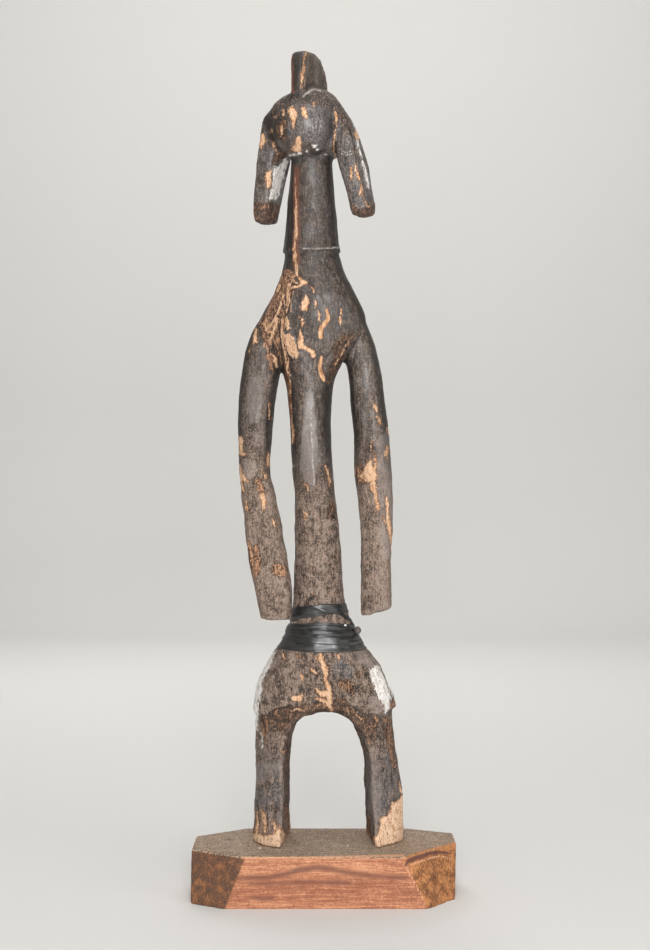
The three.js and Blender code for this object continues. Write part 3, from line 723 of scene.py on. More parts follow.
def wood_finish():
    """Smoked and handled wood, weathered lower down, with bare wood, white earth and cracks on it, and painted shade
    and highlights.
    """
    finish = Finish("smoked_wood")
    streaks = finish.grains((1.5 * MM, 1.5 * MM, 16 * MM), detail=4)
    fibres = finish.grains((0.9 * MM, 0.9 * MM, 6 * MM), detail=3)
    clouds = finish.grains((13 * MM, 13 * MM, 18 * MM), detail=4)
    blots = finish.grains((4.2 * MM, 4.2 * MM, 6 * MM), detail=4, roughness=0.6)
    specks = finish.grains((1.7 * MM, 1.7 * MM, 2.1 * MM), detail=3, roughness=0.6)
    dots = finish.grains((2.3 * MM, 2.3 * MM, 2.6 * MM), detail=3)
    torn = finish.grains((2.6 * MM, 2.6 * MM, 6 * MM), detail=5, roughness=0.65) - 0.5
    flaked = finish.grains((1.5 * MM, 1.5 * MM, 2.6 * MM), detail=4, roughness=0.6) - 0.5
    fissures = finish.grains((7 * MM, 7 * MM, 10 * MM), detail=3).gap(0.5).between(0.020, 0.002)
    patches = finish.grains((8 * MM, 8 * MM, 9 * MM), detail=6, roughness=0.72) - 0.5
    weathered = finish.attribute("weathered")
    bark = finish.attribute("bark")
    mottled = finish.attribute("mottled")
    ridge = finish.attribute("ridge")
    worn = finish.attribute("worn") + torn * 12.0
    bruised = finish.attribute("bruised") + torn * 12.0
    tan = finish.attribute("tan") + torn * 4.0 + flaked * 3.0
    bare_depth = (finish.attribute("bare") & 2.0) + torn * 6.0 + flaked * 5.0
    gallery_depth = finish.attribute("gallery") + torn * 1.6
    kaolin_depth = (finish.attribute("kaolin") & 1.6) + torn * 6.0 + flaked * 4.0
    crack_and_shadow_depth = finish.attribute("crack_and_shadow") + torn * 1.6

    weathering = (weathered + (clouds - 0.5) * 1.0 + (specks - 0.5) * 0.8).between(0.1, 0.9)
    rough_share = weathering | mottled * 0.6
    polish_tone = (streaks * 0.24 + blots * 0.34 + specks * 0.42 + ridge * 0.06).between(0.39, 0.63)
    polished = finish.colours(polish_tone, (0.0, SOOT_AND_SHADE_BLACK), (0.40, SMOKED), (0.72, SMOKED_BROWN), (1.0, SMOKED_PALE))
    slate = finish.attribute("slate")
    soot_and_shade = finish.attribute("soot_and_shade")
    slate_tone = (specks * 0.6 + streaks * 0.4).between(0.41, 0.60)
    slate_wood = finish.colours(slate_tone, (0.0, SLATE_DARK), (0.5, SLATE), (1.0, SLATE_PALE))
    polished = finish.mix(clouds.between(0.46, 0.62) * 0.4 | slate * 0.6, polished, slate_wood)
    weather_tone = streaks * 0.18 + fibres * 0.20 + specks * 0.38 + blots * 0.14 + clouds * 0.20 + ridge * 0.07
    weather_tone = weather_tone + bark * (patches * 0.52 - 0.004)
    weather = finish.colours(weather_tone.between(0.447, 0.637), (0.0, FURROW), (0.30, WEATHERED),
                             (0.68, WEATHERED_TAN), (1.0, WEATHERED_PALE))
    weather = finish.mix(slate * clouds.between(0.40, 0.52) * 0.62, weather, slate_wood)
    colour = finish.mix(weathering, polished, weather)
    mottle = (specks * 0.5 + dots * 0.5).between(0.38, 0.66)
    mottled_wood = finish.colours(mottle, (0.0, SOOT_AND_SHADE_BLACK), (0.5, SMOKED), (0.8, WORN_BROWN), (1.0, DUST))
    colour = finish.mix(mottled * 0.7, colour, mottled_wood)
    # Blackened where the patina is sooty, and painted shade on the neck under the ear flaps, under the brow and on
    # faces turned sideways.
    colour = finish.mix(soot_and_shade * 0.78, colour, SOOT_AND_SHADE_BLACK)
    red = (finish.attribute("red") + (streaks - 0.5) * 2.0).between(0.2, 0.9)
    colour = finish.mix(red * 0.85, colour, REDDENED)
    crumbs = dots.between(0.60, 0.68) * (rough_share * 0.42 + 0.11) * (1 - soot_and_shade * 0.7)
    colour = finish.mix(crumbs, colour, WEATHERED_TAN)
    dust = dots.between(0.66, 0.72) * 0.7 | (1 - specks).between(0.66, 0.70) * 0.5
    colour = finish.mix(dust * (1 - soot_and_shade * 0.6), colour, DUST)
    pits = dots.between(0.40, 0.31) * (rough_share * 0.15 + 0.4)
    colour = finish.mix(pits | fissures * bark * 0.3, colour, SOOT_AND_SHADE_BLACK)
    flecks = specks.between(0.61, 0.68) * rough_share * 0.75 * (1 - slate * 0.45)
    colour = finish.mix(flecks, colour, WORN_TAN)

    bruise_mask = bruised.between(-0.8, 1.2)
    bruise_tone = (fibres * 0.25 + specks * 0.35 + blots * 0.40).between(0.38, 0.64)
    bruise = finish.colours(bruise_tone, (0.0, FURROW), (0.42, WORN_DARK), (0.75, WORN_BROWN), (1.0, WORN_TAN))
    colour = finish.mix(bruise_mask * 0.8, colour, bruise)
    worn_mask = worn.between(-0.6, 1.0)
    worn_tone = (streaks * 0.40 + fibres * 0.2 + specks * 0.40 + ridge * 0.09).between(0.41, 0.59)
    worn_wood = finish.colours(worn_tone, (0.0, FURROW), (0.32, WORN_DARK), (0.60, WORN_BROWN), (1.0, WORN_TAN))
    colour = finish.mix(worn_mask * 0.9, colour, worn_wood)
    # Paler handled grey, and painted highlights on the torso's facet, the upper left arm, the right hip, the right leg
    # and the left foot.
    colour = finish.mix(finish.attribute("pale_and_highlight") * 0.34, colour, HANDLED_GREY_AND_HIGHLIGHT)
    tan_mask = tan.between(-0.4, 0.4)
    tan_tone = (fibres * 0.5 + specks * 0.5).between(0.35, 0.58)
    splinter = finish.colours(tan_tone, (0.0, WORN_BROWN), (0.4, BARE_ORANGE), (1.0, BARE_CREAM))
    colour = finish.mix(tan_mask * 0.85, colour, splinter)
    rim = bare_depth.between(-1.3, -0.2) | gallery_depth.between(-1.0, 0.0)
    colour = finish.mix(rim * 0.6, colour, BARE_EDGE)
    bare = bare_depth.between(-0.15, 0.35) | gallery_depth.between(-0.1, 0.3)
    bare_tone = (bare_depth * 0.055 | gallery_depth * 0.02) + streaks * 0.35 + flaked * 0.35 + blots * 0.40
    bare_wood = finish.colours(bare_tone.between(0.25, 0.55), (0.0, BARE_DEEP), (0.4, BARE_ORANGE),
                               (1.0, BARE_CREAM))
    foot_share = finish.attribute("foot") * bare_depth.between(0.8, 2.2) * bare_tone.between(0.40, 0.52)
    bare_wood = finish.mix(foot_share * 0.9, bare_wood, BARE_FOOT)
    colour = finish.mix(bare, colour, bare_wood)
    kaolin = kaolin_depth.between(-0.2, 0.5)
    powder = kaolin_depth.between(-2.4, 0.4) * dots.between(0.50, 0.62)
    chalk = finish.colours((specks * 0.5 + blots * 0.5).between(0.37, 0.54), (0.0, KAOLIN_DIRTY), (1.0, KAOLIN))
    colour = finish.mix((kaolin | powder * 0.7) * 0.96, colour, chalk)
    # Scuffed and dusty lines, and painted highlights along the collar's lip and down the torso.
    lightened = (finish.attribute("lightened") + flaked * 4.5).between(-0.5, 0.5)
    colour = finish.mix(lightened * 0.55, colour, SCUFFED_AND_HIGHLIGHT)
    # Dark in the cracks, and a painted shadow beside the right ear flap's front edge.
    crack_and_shadow = crack_and_shadow_depth.between(-0.25, 0.45)
    colour = finish.mix(crack_and_shadow * 0.85, colour, CRACK_AND_SHADOW_DARK)

    covered = bare | kaolin | worn_mask * 0.8 | bruise_mask * 0.8 | tan_mask
    rough = 0.50 + rough_share * 0.25 + (blots - 0.5) * 0.6 + (specks - 0.5) * 0.4
    rough = rough + (0.88 - rough) * covered
    handled = (1 - rough_share) * (1 - covered) * clouds.between(0.42, 0.56) * (1 - soot_and_shade * 0.8) * 0.40
    depth = rough_share * 0.6 + 0.45 + (worn_mask | bruise_mask) * 0.5
    relief = finish.bump((streaks * 0.25 + fibres * 0.30 + specks * 0.45) * depth, 2.6 * MM, 0.8)
    furrows = blots * (rough_share * 0.5 + worn_mask * 0.3 + 0.15) + bark * (patches * 0.4 - fissures * 0.12)
    relief = finish.bump(furrows, 4.5 * MM, 0.65, relief)
    finish.set(Base_Color=colour, Roughness=rough, Normal=relief, Specular_IOR_Level=0.48, Coat_Weight=handled,
               Coat_Roughness=0.32, Coat_IOR=1.6)
    return finish.material


RUBBER = (0.008, 0.008, 0.008)
RUBBER_GREY = (0.030, 0.030, 0.031)
RUBBER_DUST = (0.140, 0.118, 0.100)


def rubber_finish():
    """Strip cut from an inner tube, semi-gloss, dusty in its folds."""
    finish = Finish("inner_tube_rubber")
    stretch = finish.grains((16 * MM, 16 * MM, 1.0 * MM), detail=4)
    cloudy = finish.grains((9 * MM, 9 * MM, 4 * MM), detail=4)
    specks = finish.grains((1.6 * MM, 1.6 * MM, 1.2 * MM), detail=2)
    dust = finish.attribute("dust")
    colour = finish.mix((cloudy * 0.6 + stretch * 0.4).between(0.40, 0.64), RUBBER, RUBBER_GREY)
    lightened = (dust + (stretch - 0.5) * 1.2 + (cloudy - 0.5) * 1.0).between(0.15, 0.95) * 0.75
    colour = finish.mix(lightened | specks.between(0.66, 0.74) * 0.4, colour, RUBBER_DUST)
    colour = finish.mix(finish.attribute("fleck").between(-0.2, 0.4), colour, KAOLIN)
    rough = 0.37 + (cloudy - 0.5) * 0.5 + lightened * 0.35
    finish.set(Base_Color=colour, Roughness=rough, Normal=finish.bump(stretch + specks * 0.3, 0.5 * MM, 0.4),
               Specular_IOR_Level=0.8)
    return finish.material


STRIP_THICKNESS = 0.8 * MM
STATIONS_A_TURN = 160
STRIP_COLUMNS = 13
# The strip's run round the waist, from the back at the bottom, going round by the right side and the
# front: turns so far, its lower edge, its width, in millimetres.
STRIP_RUN = [
    (0.00, 271.4, 13.0), (0.25, 271.6, 13.0), (0.50, 270.2, 13.0), (0.75, 272.0, 13.0), (1.00, 273.6, 13.0),
    (1.25, 275.8, 13.0), (1.50, 279.2, 13.0), (1.75, 281.6, 12.0), (2.00, 282.6, 11.5), (2.25, 284.4, 11.0),
    (2.50, 288.4, 11.0), (2.63, 286.6, 10.5), (2.75, 288.6, 8.5), (3.00, 290.2, 8.0), (3.25, 291.8, 6.8),
    (3.50, 296.8, 6.6), (3.75, 293.4, 5.6), (4.00, 291.8, 6.0), (4.18, 291.4, 5.8), (4.25, 295.0, 5.6),
    (4.30, 301.8, 5.4), (4.38, 309.2, 5.2), (4.43, 314.6, 5.8), (4.50, 315.0, 7.4), (4.75, 305.6, 10.5),
    (5.00, 306.6, 11.0), (5.25, 311.4, 10.5), (5.40, 313.0, 10.0), (5.50, 310.4, 12.2), (5.62, 306.6, 13.4),
    (5.75, 302.8, 12.8), (5.86, 304.0, 12.0),
]
FOLDS = {
    "band_fold": [(312, 606.4, 0.5), (318, 608.6, 0.8), (325, 611, 0.9), (333, 613, 0.5)],
    "upper_fold": [(312, 631, 0.5), (319, 630.6, 1.0), (327, 632, 0.8), (334, 632, 0.4)],
    "middle_fold": [(303, 637.6, 0.4), (312, 636.6, 0.8), (320, 636.2, 0.9), (334, 634.6, 0.4)],
    "lower_fold": [(312, 638.4, 0.4), (318, 639, 0.8), (328, 637.8, 0.7), (338, 638, 0.3)],
}
WHITE_FLECK = {"white_fleck": [(345.1, 625.1, 1.0), (345.6, 625.3, 1.0)]}


class Waist:
    """How far the wood reaches from the middle of the waist at each height and bearing."""

    def __init__(self, wood, low, high):
        tree = BVHTree.FromObject(wood, bpy.context.evaluated_depsgraph_get())
        (x0, y0, _), (x1, y1, _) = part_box("waist_binding")
        self.middle = np.array([(x0 + x1) / 2, (y0 + y1) / 2])
        self.low = low
        heights = np.arange(low, high, MM)
        rows = []
        for z in heights:
            centre = Vector((*self.middle, z))
            turns = np.linspace(0, 2 * math.pi, STATIONS_A_TURN, endpoint=False)
            rows.append([tree.ray_cast(centre, Vector((math.cos(b), math.sin(b), 0)))[3] for b in turns])
        self.reach = np.array(rows)
        bridging_rounds = 12
        for _ in range(bridging_rounds):
            across = (np.roll(self.reach, 1, axis=1) + np.roll(self.reach, -1, axis=1)) / 2
            self.reach = np.maximum(self.reach, across)
        for _ in range(2):
            self.reach[1:-1] = (self.reach[:-2] + 2 * self.reach[1:-1] + self.reach[2:]) / 4
        self.slope = np.gradient(self.reach, MM, axis=0)
        self.built = np.full(self.reach.shape, 0.35 * MM)

    def rows(self, z):
        return np.clip((np.asarray(z) - self.low) / MM, 0, len(self.reach) - 1.001)

    def at(self, table, column, z):
        place = self.rows(z)
        row = place.astype(int)
        part = place - row
        return table[row, column] * (1 - part) + table[row + 1, column] * part

    def lay(self, column, z):
        """Lays strip over the heights z at one bearing, and gives how far its inner face is off the wood."""
        under = self.at(self.built, column, z)
        lift = under.copy()
        for _ in range(2):
            lift[1:-1] = np.maximum(lift[1:-1], (lift[:-2] + lift[2:]) / 2)
        covered = np.arange(int(self.rows(z[0])), int(self.rows(z[-1])) + 2)
        self.built[covered, column] = np.interp(covered, self.rows(z), lift) + STRIP_THICKNESS + 0.1 * MM
        return lift


def rubber_strip(wood):
    """One long strip, wound from the bottom upwards, each turn over the last, and crossing to a band above."""
    waist = Waist(wood, 0.258, 0.338)
    knots = np.array(STRIP_RUN)
    stations = int(knots[-1, 0] * STATIONS_A_TURN)
    turns = np.arange(stations) / STATIONS_A_TURN
    lower = np.interp(turns, knots[:, 0], knots[:, 1])
    width = np.interp(turns, knots[:, 0], knots[:, 2])
    kernel = np.hanning(17) / np.hanning(17).sum()
    lower = np.convolve(np.pad(lower, 8, "edge"), kernel, "valid") * MM
    width = np.convolve(np.pad(width, 8, "edge"), kernel, "valid") * MM

    bpy.ops.object.select_all(action="DESELECT")
    bpy.ops.mesh.primitive_grid_add(x_subdivisions=stations - 1, y_subdivisions=STRIP_COLUMNS - 1, size=1)
    strip = bpy.context.object
    strip.name = "rubber_strip"
    flat = places(strip)
    station = np.rint((flat[:, 0] + 0.5) * (stations - 1)).astype(int)
    row = np.rint((flat[:, 1] + 0.5) * (STRIP_COLUMNS - 1)).astype(int)
    spread = np.linspace(0, 1, STRIP_COLUMNS)
    column = (STATIONS_A_TURN // 4 - np.arange(stations)) % STATIONS_A_TURN
    grid = np.empty((stations, STRIP_COLUMNS, 3))
    lifts = np.empty((stations, STRIP_COLUMNS))
    heights = np.empty((stations, STRIP_COLUMNS))
    for i in range(stations):
        lean = waist.at(waist.slope, column[i], lower[i] + width[i] / 2)
        heights[i] = lower[i] + spread * width[i] / math.hypot(1, lean)
        lifts[i] = waist.lay(column[i], heights[i])
    for _ in range(3):
        lifts[1:-1] = (lifts[:-2] + 2 * lifts[1:-1] + lifts[2:]) / 4
    for i in range(stations):
        bearing = 2 * math.pi * column[i] / STATIONS_A_TURN
        reach = waist.at(waist.reach, column[i], heights[i])
        lean = waist.at(waist.slope, column[i], heights[i])
        size = np.hypot(1, lean)
        out = reach + lifts[i] / size
        grid[i] = np.column_stack([waist.middle[0] + out * math.cos(bearing), waist.middle[1] + out * math.sin(bearing),
                                   heights[i] - lifts[i] * lean / size])
    move_to(strip, grid[station, row])
    select_only(strip)
    bpy.ops.object.mode_set(mode="EDIT")
    bpy.ops.mesh.select_all(action="SELECT")
    bpy.ops.mesh.flip_normals()
    bpy.ops.object.mode_set(mode="OBJECT")
    points = places(strip)
    normals = directions(strip)
    u, v, _ = seen(points)
    fold = ramp(mark_depth(u, v, FOLDS), -1.0, 0.8) * (normals[:, 1] < 0)
    rise = 0.7 * fold + 0.28 * noise(points, (18 * MM, 18 * MM, 1.8 * MM), 31, 2)
    rise += 0.25 * noise(points, (9 * MM, 9 * MM, 5 * MM), 33)
    move_to(strip, points + normals * (rise * MM)[:, None])
    apply_modifier(strip, "SOLIDIFY", thickness=STRIP_THICKNESS, offset=1, use_rim=True)
    return strip


def dusty_knot():
    """The tucked-in end of the strip, a small lump caked with dust at the right edge."""
    bpy.ops.object.select_all(action="DESELECT")
    bpy.ops.mesh.primitive_uv_sphere_add(segments=28, ring_count=18, radius=1, location=(0, 0, 0))
    knot = bpy.context.object
    knot.name = "knot"
    points = places(knot)
    points *= 1 + 0.2 * noise(points, 0.6, 41, 2)[:, None]
    lean = math.radians(24)
    turned = np.column_stack([points[:, 0] * math.cos(lean) - points[:, 2] * math.sin(lean), points[:, 1],
                              points[:, 0] * math.sin(lean) + points[:, 2] * math.cos(lean)])
    half_sizes = np.array([3.9, 5.0, 4.4]) * MM
    middle = np.array([36.2, -7.0, 292.6]) * MM
    move_to(knot, middle + turned * half_sizes)
    return knot


FRESH = (0.530, 0.228, 0.120)
FRESH_PALE_AND_HIGHLIGHT = (0.740, 0.385, 0.215)
FRESH_DARK = (0.300, 0.110, 0.060)
RING_DARK_AND_SHADE = (0.125, 0.050, 0.042)
GREY_TOP = (0.320, 0.225, 0.155)
GREY_TOP_PALE = (0.620, 0.460, 0.330)
GREY_TOP_DARK = (0.080, 0.056, 0.040)
STAINED_DARK = (0.070, 0.042, 0.030)
STAINED = (0.180, 0.082, 0.042)
STAINED_ORANGE = (0.400, 0.165, 0.062)
CUT_DARK = (0.125, 0.050, 0.024)
CUT_BROWN = (0.315, 0.124, 0.044)
CUT_ORANGE = (0.620, 0.270, 0.100)


def plank_finish():
    """Sawn softwood: weathered on top, fresh in front with its year rings, and rough on the slanted cuts, with painted
    highlights along its edges and painted shade in the groove.
    """
    finish = Finish("plank_wood")
    grain = finish.grains((40 * MM, 2.0 * MM, 1.5 * MM), detail=5)
    top_grain = finish.grains((9 * MM, 1.5 * MM, 3 * MM), detail=5, roughness=0.65)
    pores = finish.grains((4 * MM, 1.0 * MM, 1.0 * MM), detail=3)
    specks = finish.grains((1.7 * MM, 1.7 * MM, 1.7 * MM), detail=3)
    blots = finish.grains((12 * MM, 9 * MM, 8 * MM), detail=4)
    saw = finish.grains((0.9 * MM, 0.9 * MM, 16 * MM), detail=2, turn=(0, math.radians(45), 0))
    cross = finish.grains((1.0 * MM, 1.0 * MM, 12 * MM), detail=2, turn=(0, math.radians(-48), 0))
    ring = finish.attribute("ring")
    across = finish.node("SeparateXYZ", {0: finish.place}, output="X")
    ring_place = finish.node("CombineXYZ", {0: across * 0.02, 2: ring})
    rings = finish.grains((1.0, 1.0, 1.7), detail=4, place=ring_place)

    low = (finish.attribute("low") + (blots - 0.5) * 1.2).between(0.0, 0.9)
    front_tone = grain * 0.34 + rings * 0.18 + specks * 0.30 + blots * 0.18 - low * 0.055
    front = finish.colours(front_tone.between(0.37, 0.65), (0.0, FRESH_DARK), (0.5, FRESH), (1.0, FRESH_PALE_AND_HIGHLIGHT))
    arc = (finish.attribute("arc") + (grain - 0.5) * 6.0 + (specks - 0.5) * 5.0).between(-2.4, 1.4)
    front = finish.mix(arc * 0.72, front, RING_DARK_AND_SHADE)
    top_tone = (top_grain * 0.34 + pores * 0.22 + specks * 0.44).between(0.41, 0.60)
    top = finish.colours(top_tone, (0.0, GREY_TOP_DARK), (0.45, GREY_TOP), (1.0, GREY_TOP_PALE))
    cut_tone = (saw * 0.40 + cross * 0.14 + blots * 0.32 + specks * 0.14).between(0.40, 0.60)
    cut = finish.colours(cut_tone, (0.0, CUT_DARK), (0.45, CUT_BROWN), (1.0, CUT_ORANGE))
    stain_tone = (blots * 0.44 + specks * 0.30 + saw * 0.26).between(0.35, 0.66)
    stained = finish.colours(stain_tone, (0.0, STAINED_DARK), (0.6, STAINED), (1.0, STAINED_ORANGE))
    colour = finish.mix(finish.attribute("cut"), front, cut)
    colour = finish.mix((finish.attribute("stain") + (blots - 0.5) * 1.4).between(0.3, 0.7), colour, stained)
    colour = finish.mix((finish.attribute("top") + (specks - 0.5) * 0.8).between(0.35, 0.65), colour, top)
    # Pale convex edges in ragged stretches, and painted highlights along the edge lines listed above.
    edge = (finish.attribute("edge") + (specks - 0.5) * 1.6).between(0.3, 0.8)
    colour = finish.mix(edge * 0.8, colour, FRESH_PALE_AND_HIGHLIGHT)
    lip = (finish.attribute("lip") + (specks - 0.5) * 5.0).between(-0.5, 0.8)
    colour = finish.mix(lip * 0.9, colour, finish.mix(specks.between(0.38, 0.6), CUT_BROWN, CUT_ORANGE))
    # Painted shade in the groove under the lip.
    kerf_shade = (finish.attribute("kerf_shade") + (specks - 0.5) * 3.0).between(-0.6, 0.7)
    colour = finish.mix(kerf_shade * 0.9, colour, RING_DARK_AND_SHADE)
    colour = finish.mix(specks.between(0.70, 0.76) * 0.6, colour, DUST)
    colour = finish.mix(finish.attribute("fleck").between(-0.2, 0.3), colour, KAOLIN)
    relief = (grain * 0.5 + specks * 0.3 + pores * 0.2) * (1 - finish.attribute("cut"))
    relief = relief + (saw * 0.4 + cross * 0.3 + specks * 0.3) * finish.attribute("cut")
    finish.set(Base_Color=colour, Roughness=0.86, Normal=finish.bump(relief, 1.5 * MM, 0.6))
    return finish.material


PLANK_VOXEL = 2.2 * MM
# Each corner's slanted cut, by three points of it in millimetres: on the plank's long top edge, on
# its short top edge, and on the long bottom edge.
CORNER_CUTS = {
    "front_left": [(-89, -70.5, 56), (-146, -36, 56), (-111, -70.5, 0)],
    "front_right": [(87, -70.5, 56), (146, 0, 56), (112, -70.5, 0)],
    "back_left": [(-90, 70.5, 56), (-146, 30, 56), (-94, 70.5, 0)],
    "back_right": [(94, 70.5, 56), (146, 46, 56), (98, 70.5, 0)],
}
# The groove under the lip on the right corner's cut, painted dark as the shade in it.
SAW_GROOVE = {
    "groove": [(405.6, 866.5, 0.6), (407, 862.5, 1.6), (409.5, 860.8, 2.2), (413.5, 859, 2.4), (420.5, 856.6, 2.3),
               (426, 854.8, 1.9), (430, 853.2, 1.5), (438, 852, 1.5), (446, 852.6, 1.4), (452, 853.6, 0.8)],
}
KERF_LIP = {
    "lip": [(404, 858), (407, 856), (410, 854.6), (422, 850.7), (435, 847.1), (445.6, 844.3), (453.4, 842.1),
            (456, 842), (456, 849), (447, 850), (438, 850), (430, 851), (424, 853.5), (416, 856.5),
            (410, 859), (406.5, 862), (404, 866)],
}
DARK_ARC = {
    "arc": [(236, 878.5, 0.6), (252, 878, 1.3), (270, 877, 1.4), (287, 873.5, 1.7), (300, 870, 2.0),
            (318, 867.6, 2.2), (330, 869, 2.0), (345, 872, 1.7), (375, 876, 1.4), (406, 878, 1.0)],
    "under_arc": [(250, 884, 0.4), (300, 882, 0.9), (350, 883, 0.7)],
    "low_smear": [(252, 897, 0.6), (264, 899, 1.2), (272, 898, 0.7)],
}
# Pale lines along the plank's edges: painted highlights where the edges catch the light.
FRESH_AND_HIGHLIGHT_EDGES = {
    "front_top": [(242, 858, 0.9), (300, 857.4, 0.8), (350, 856.4, 0.9), (404, 855.4, 1.1)],
    "corner_light": [(405, 857, 1.0), (407, 861, 0.8)],
    "under_groove": [(406.3, 867.4, 0.5), (414, 864, 0.7), (426.3, 858.8, 0.7), (438.4, 856.2, 0.6),
                     (446.3, 857, 0.5), (451.3, 859, 0.4)],
    "facet_edge": [(407, 868.6, 0.7), (411, 876, 0.6), (416.6, 886, 0.6), (421.8, 896, 0.6), (425, 903, 0.5)],
}
PLANK_SPECKS = {
    "left_speck": [(259.6, 848, 0.9), (260.4, 848.2, 0.9)],
    "mid_speck": [(347.6, 845.5, 0.7), (348.4, 845.5, 0.7)],
}


def sawn_plank():
    (x0, y0, z0), (x1, y1, z1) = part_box("plinth")
    bpy.ops.object.select_all(action="DESELECT")
    bpy.ops.mesh.primitive_cube_add(size=1, location=((x0 + x1) / 2, (y0 + y1) / 2, (z0 + z1) / 2),
                                    scale=(x1 - x0, y1 - y0, z1 - z0))
    plank = bpy.context.object
    plank.name = "plank"
    bpy.ops.object.transform_apply(location=True, rotation=True, scale=True)
    outward = {}
    bpy.ops.object.mode_set(mode="EDIT")
    for name, corner in CORNER_CUTS.items():
        a, b, c = (Vector(point) * MM for point in corner)
        normal = (b - a).cross(c - a).normalized()
        if normal.dot(a) < 0:
            normal.negate()
        outward[name] = (np.array(a), np.array(normal))
        bpy.ops.mesh.select_all(action="SELECT")
        bpy.ops.mesh.bisect(plane_co=a, plane_no=normal, use_fill=True, clear_outer=True)
    bpy.ops.object.mode_set(mode="OBJECT")
    apply_modifier(plank, "REMESH", mode="VOXEL", voxel_size=PLANK_VOXEL, use_smooth_shade=True)
    soften(plank, np.ones(len(plank.data.vertices)), 3)
    points = places(plank)
    normals = directions(plank)
    u, v, _ = seen(points)
    in_front = normals[:, 1] < 0.2

    def in_view(strokes, patches=None):
        return np.where(in_front, mark_depth(u, v, strokes, patches), -MARK_REACH)

    upward = ramp(points[:, 2], z1 - 3.2 * MM, z1 - 1.2 * MM)
    depth_in = {name: (points - at) @ normal for name, (at, normal) in outward.items()}
    on_cut = {name: ramp(depth, -2.6 * MM, -1.2 * MM) for name, depth in depth_in.items()}
    groove = in_view(SAW_GROOVE)
    net = Net(plank)
    bulge = net.spread(net.bulge(points, normals), 1)
    edge = ramp(bulge, 0.05, 0.16) * ramp(noise(points, 9 * MM, 51, 3), -0.5, 0.3)
    edge *= ramp(points[:, 2], 0.02, 0.05)
    edge = np.maximum(edge, ramp(in_view(FRESH_AND_HIGHLIGHT_EDGES), -0.7, 0.3) * 0.9)
    drop = 1.5 * ramp(groove, -0.8, 1.2)
    drop += 0.7 * ramp(bulge, 0.05, 0.2) * ramp(noise(points, 11 * MM, 52, 2), -0.2, 0.6)
    drop += 0.18 * noise(points, (50 * MM, 5 * MM, 4 * MM), 53, 2)
    drop += 0.25 * sum(on_cut.values()) * noise(points, (4 * MM, 4 * MM, 9 * MM), 54, 2)
    bottom = points[:, 2] < z0 + 3 * MM
    drop = np.where(bottom, np.maximum(drop, 0), drop)
    moved = points - normals * (drop * MM)[:, None]
    right_end_lean = 2.8 * MM
    moved[:, 0] -= right_end_lean * ramp(points[:, 0], 0.11, x1) * ramp(points[:, 2], z1, z0)
    move_to(plank, np.clip(moved, [x0, y0, z0], [x1, y1, z1]))
    stain = on_cut["front_left"] * 0.9 + on_cut["back_left"] * 0.3
    side = ramp(np.abs(normals[:, 0]), 0.75, 0.95) * (1 - upward)
    ring = points[:, 2] / MM + 0.0013 * (points[:, 0] / MM) ** 2
    store(plank, {"top": upward * ramp(normals[:, 2], 0.3, 0.7), "cut": np.clip(sum(on_cut.values()) + side, 0, 1), "stain": stain, "edge": edge,
                  "ring": ring, "low": ramp(points[:, 2], 0.042, 0.030) * ramp(points[:, 2], 0.003, 0.012),
                  "arc": in_view(DARK_ARC), "kerf_shade": groove, "lip": in_view({}, KERF_LIP),
                  "fleck": in_view(PLANK_SPECKS)})
    return plank


def replace_node(piece, node, material):
    smooth_faces(piece)
    piece.data.materials.clear()
    piece.data.materials.append(material)
    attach(piece, "root")
    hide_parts(node)


figure = carved_figure()
points = places(figure)
normals = directions(figure)
net = Net(figure)
z_mm = points[:, 2] / MM
back_eye = EYE * (1, -1, 1)


def in_sight(eye):
    """What the eye sees, with a ragged margin past the rim, where the wood turns away from it."""
    clear = unhidden(figure, points, normals, eye)
    turned = facing(points, normals, eye)
    ragged = noise(points, (7 * MM, 7 * MM, 12 * MM), 91, 2)
    margin = net.spread(clear.astype(float), 10) > 0.06 + 0.05 * ragged
    return clear | margin & (turned < 0.1) & (turned > 0.3 * ragged - 0.25)


front_clear = in_sight(EYE)
back_clear = in_sight(back_eye) & ~front_clear
views = ((front_clear, *seen(points)), (back_clear, *seen(points, back_eye, -1.0)))


def marked(front_marks, behind_marks=({}, {}), wander=0.0):
    """The depth of marks in millimetres, on the side that each was seen from."""
    depth = np.full(len(points), -MARK_REACH)
    for (clear, u, v, pixel), (strokes, patches) in zip(views, (front_marks, behind_marks)):
        du = wander * noise(points, (5 * MM, 5 * MM, 9 * MM), 61, 2)
        dv = wander * noise(points, (5 * MM, 5 * MM, 9 * MM), 67, 2)
        here = mark_depth(u + du, v + dv, strokes, patches) * pixel / MM
        depth = np.where(clear, np.maximum(depth, here), depth)
    return depth


back_strokes = back_marks(points, normals)
back_galleries = dict(list(back_strokes.items())[::4])
hips_behind = {name: KAOLIN_PATCHES[name] for name in ("left_hip", "right_hip")}
bruised_behind = {name: BRUISED_PATCHES[name] for name in ("arch_band", "left_ear_foot", "right_ear_foot")}
bare = marked((BARE_STROKES, BARE_PATCHES), (back_strokes, {}), 1.6)
gallery = marked((GALLERIES, {}), (back_galleries, {}), 0.4)
kaolin = marked(({}, KAOLIN_PATCHES), ({}, hips_behind), 3.2)
kaolin = np.maximum(kaolin, marked((KAOLIN_STROKES, {}), wander=0.6))
chin_dots = {name: stroke for name, stroke in KAOLIN_STROKES.items() if name.startswith("chin")}
kaolin = np.maximum(kaolin, 1.8 * marked((chin_dots, {}), wander=0.3) + 0.2)
crack_and_shadow = marked((CRACKS_AND_SHADOW_LINES, {}), wander=0.6)
tan = marked((SPLINTERS, SPLINTER_PATCHES), wander=1.4)
worn = marked(({}, WORN_PATCHES), wander=4.0)
bruised = marked(({}, BRUISED_PATCHES), ({}, bruised_behind), 4.0)
lightened = marked((DUST_AND_HIGHLIGHT_STROKES, {}), wander=0.6)
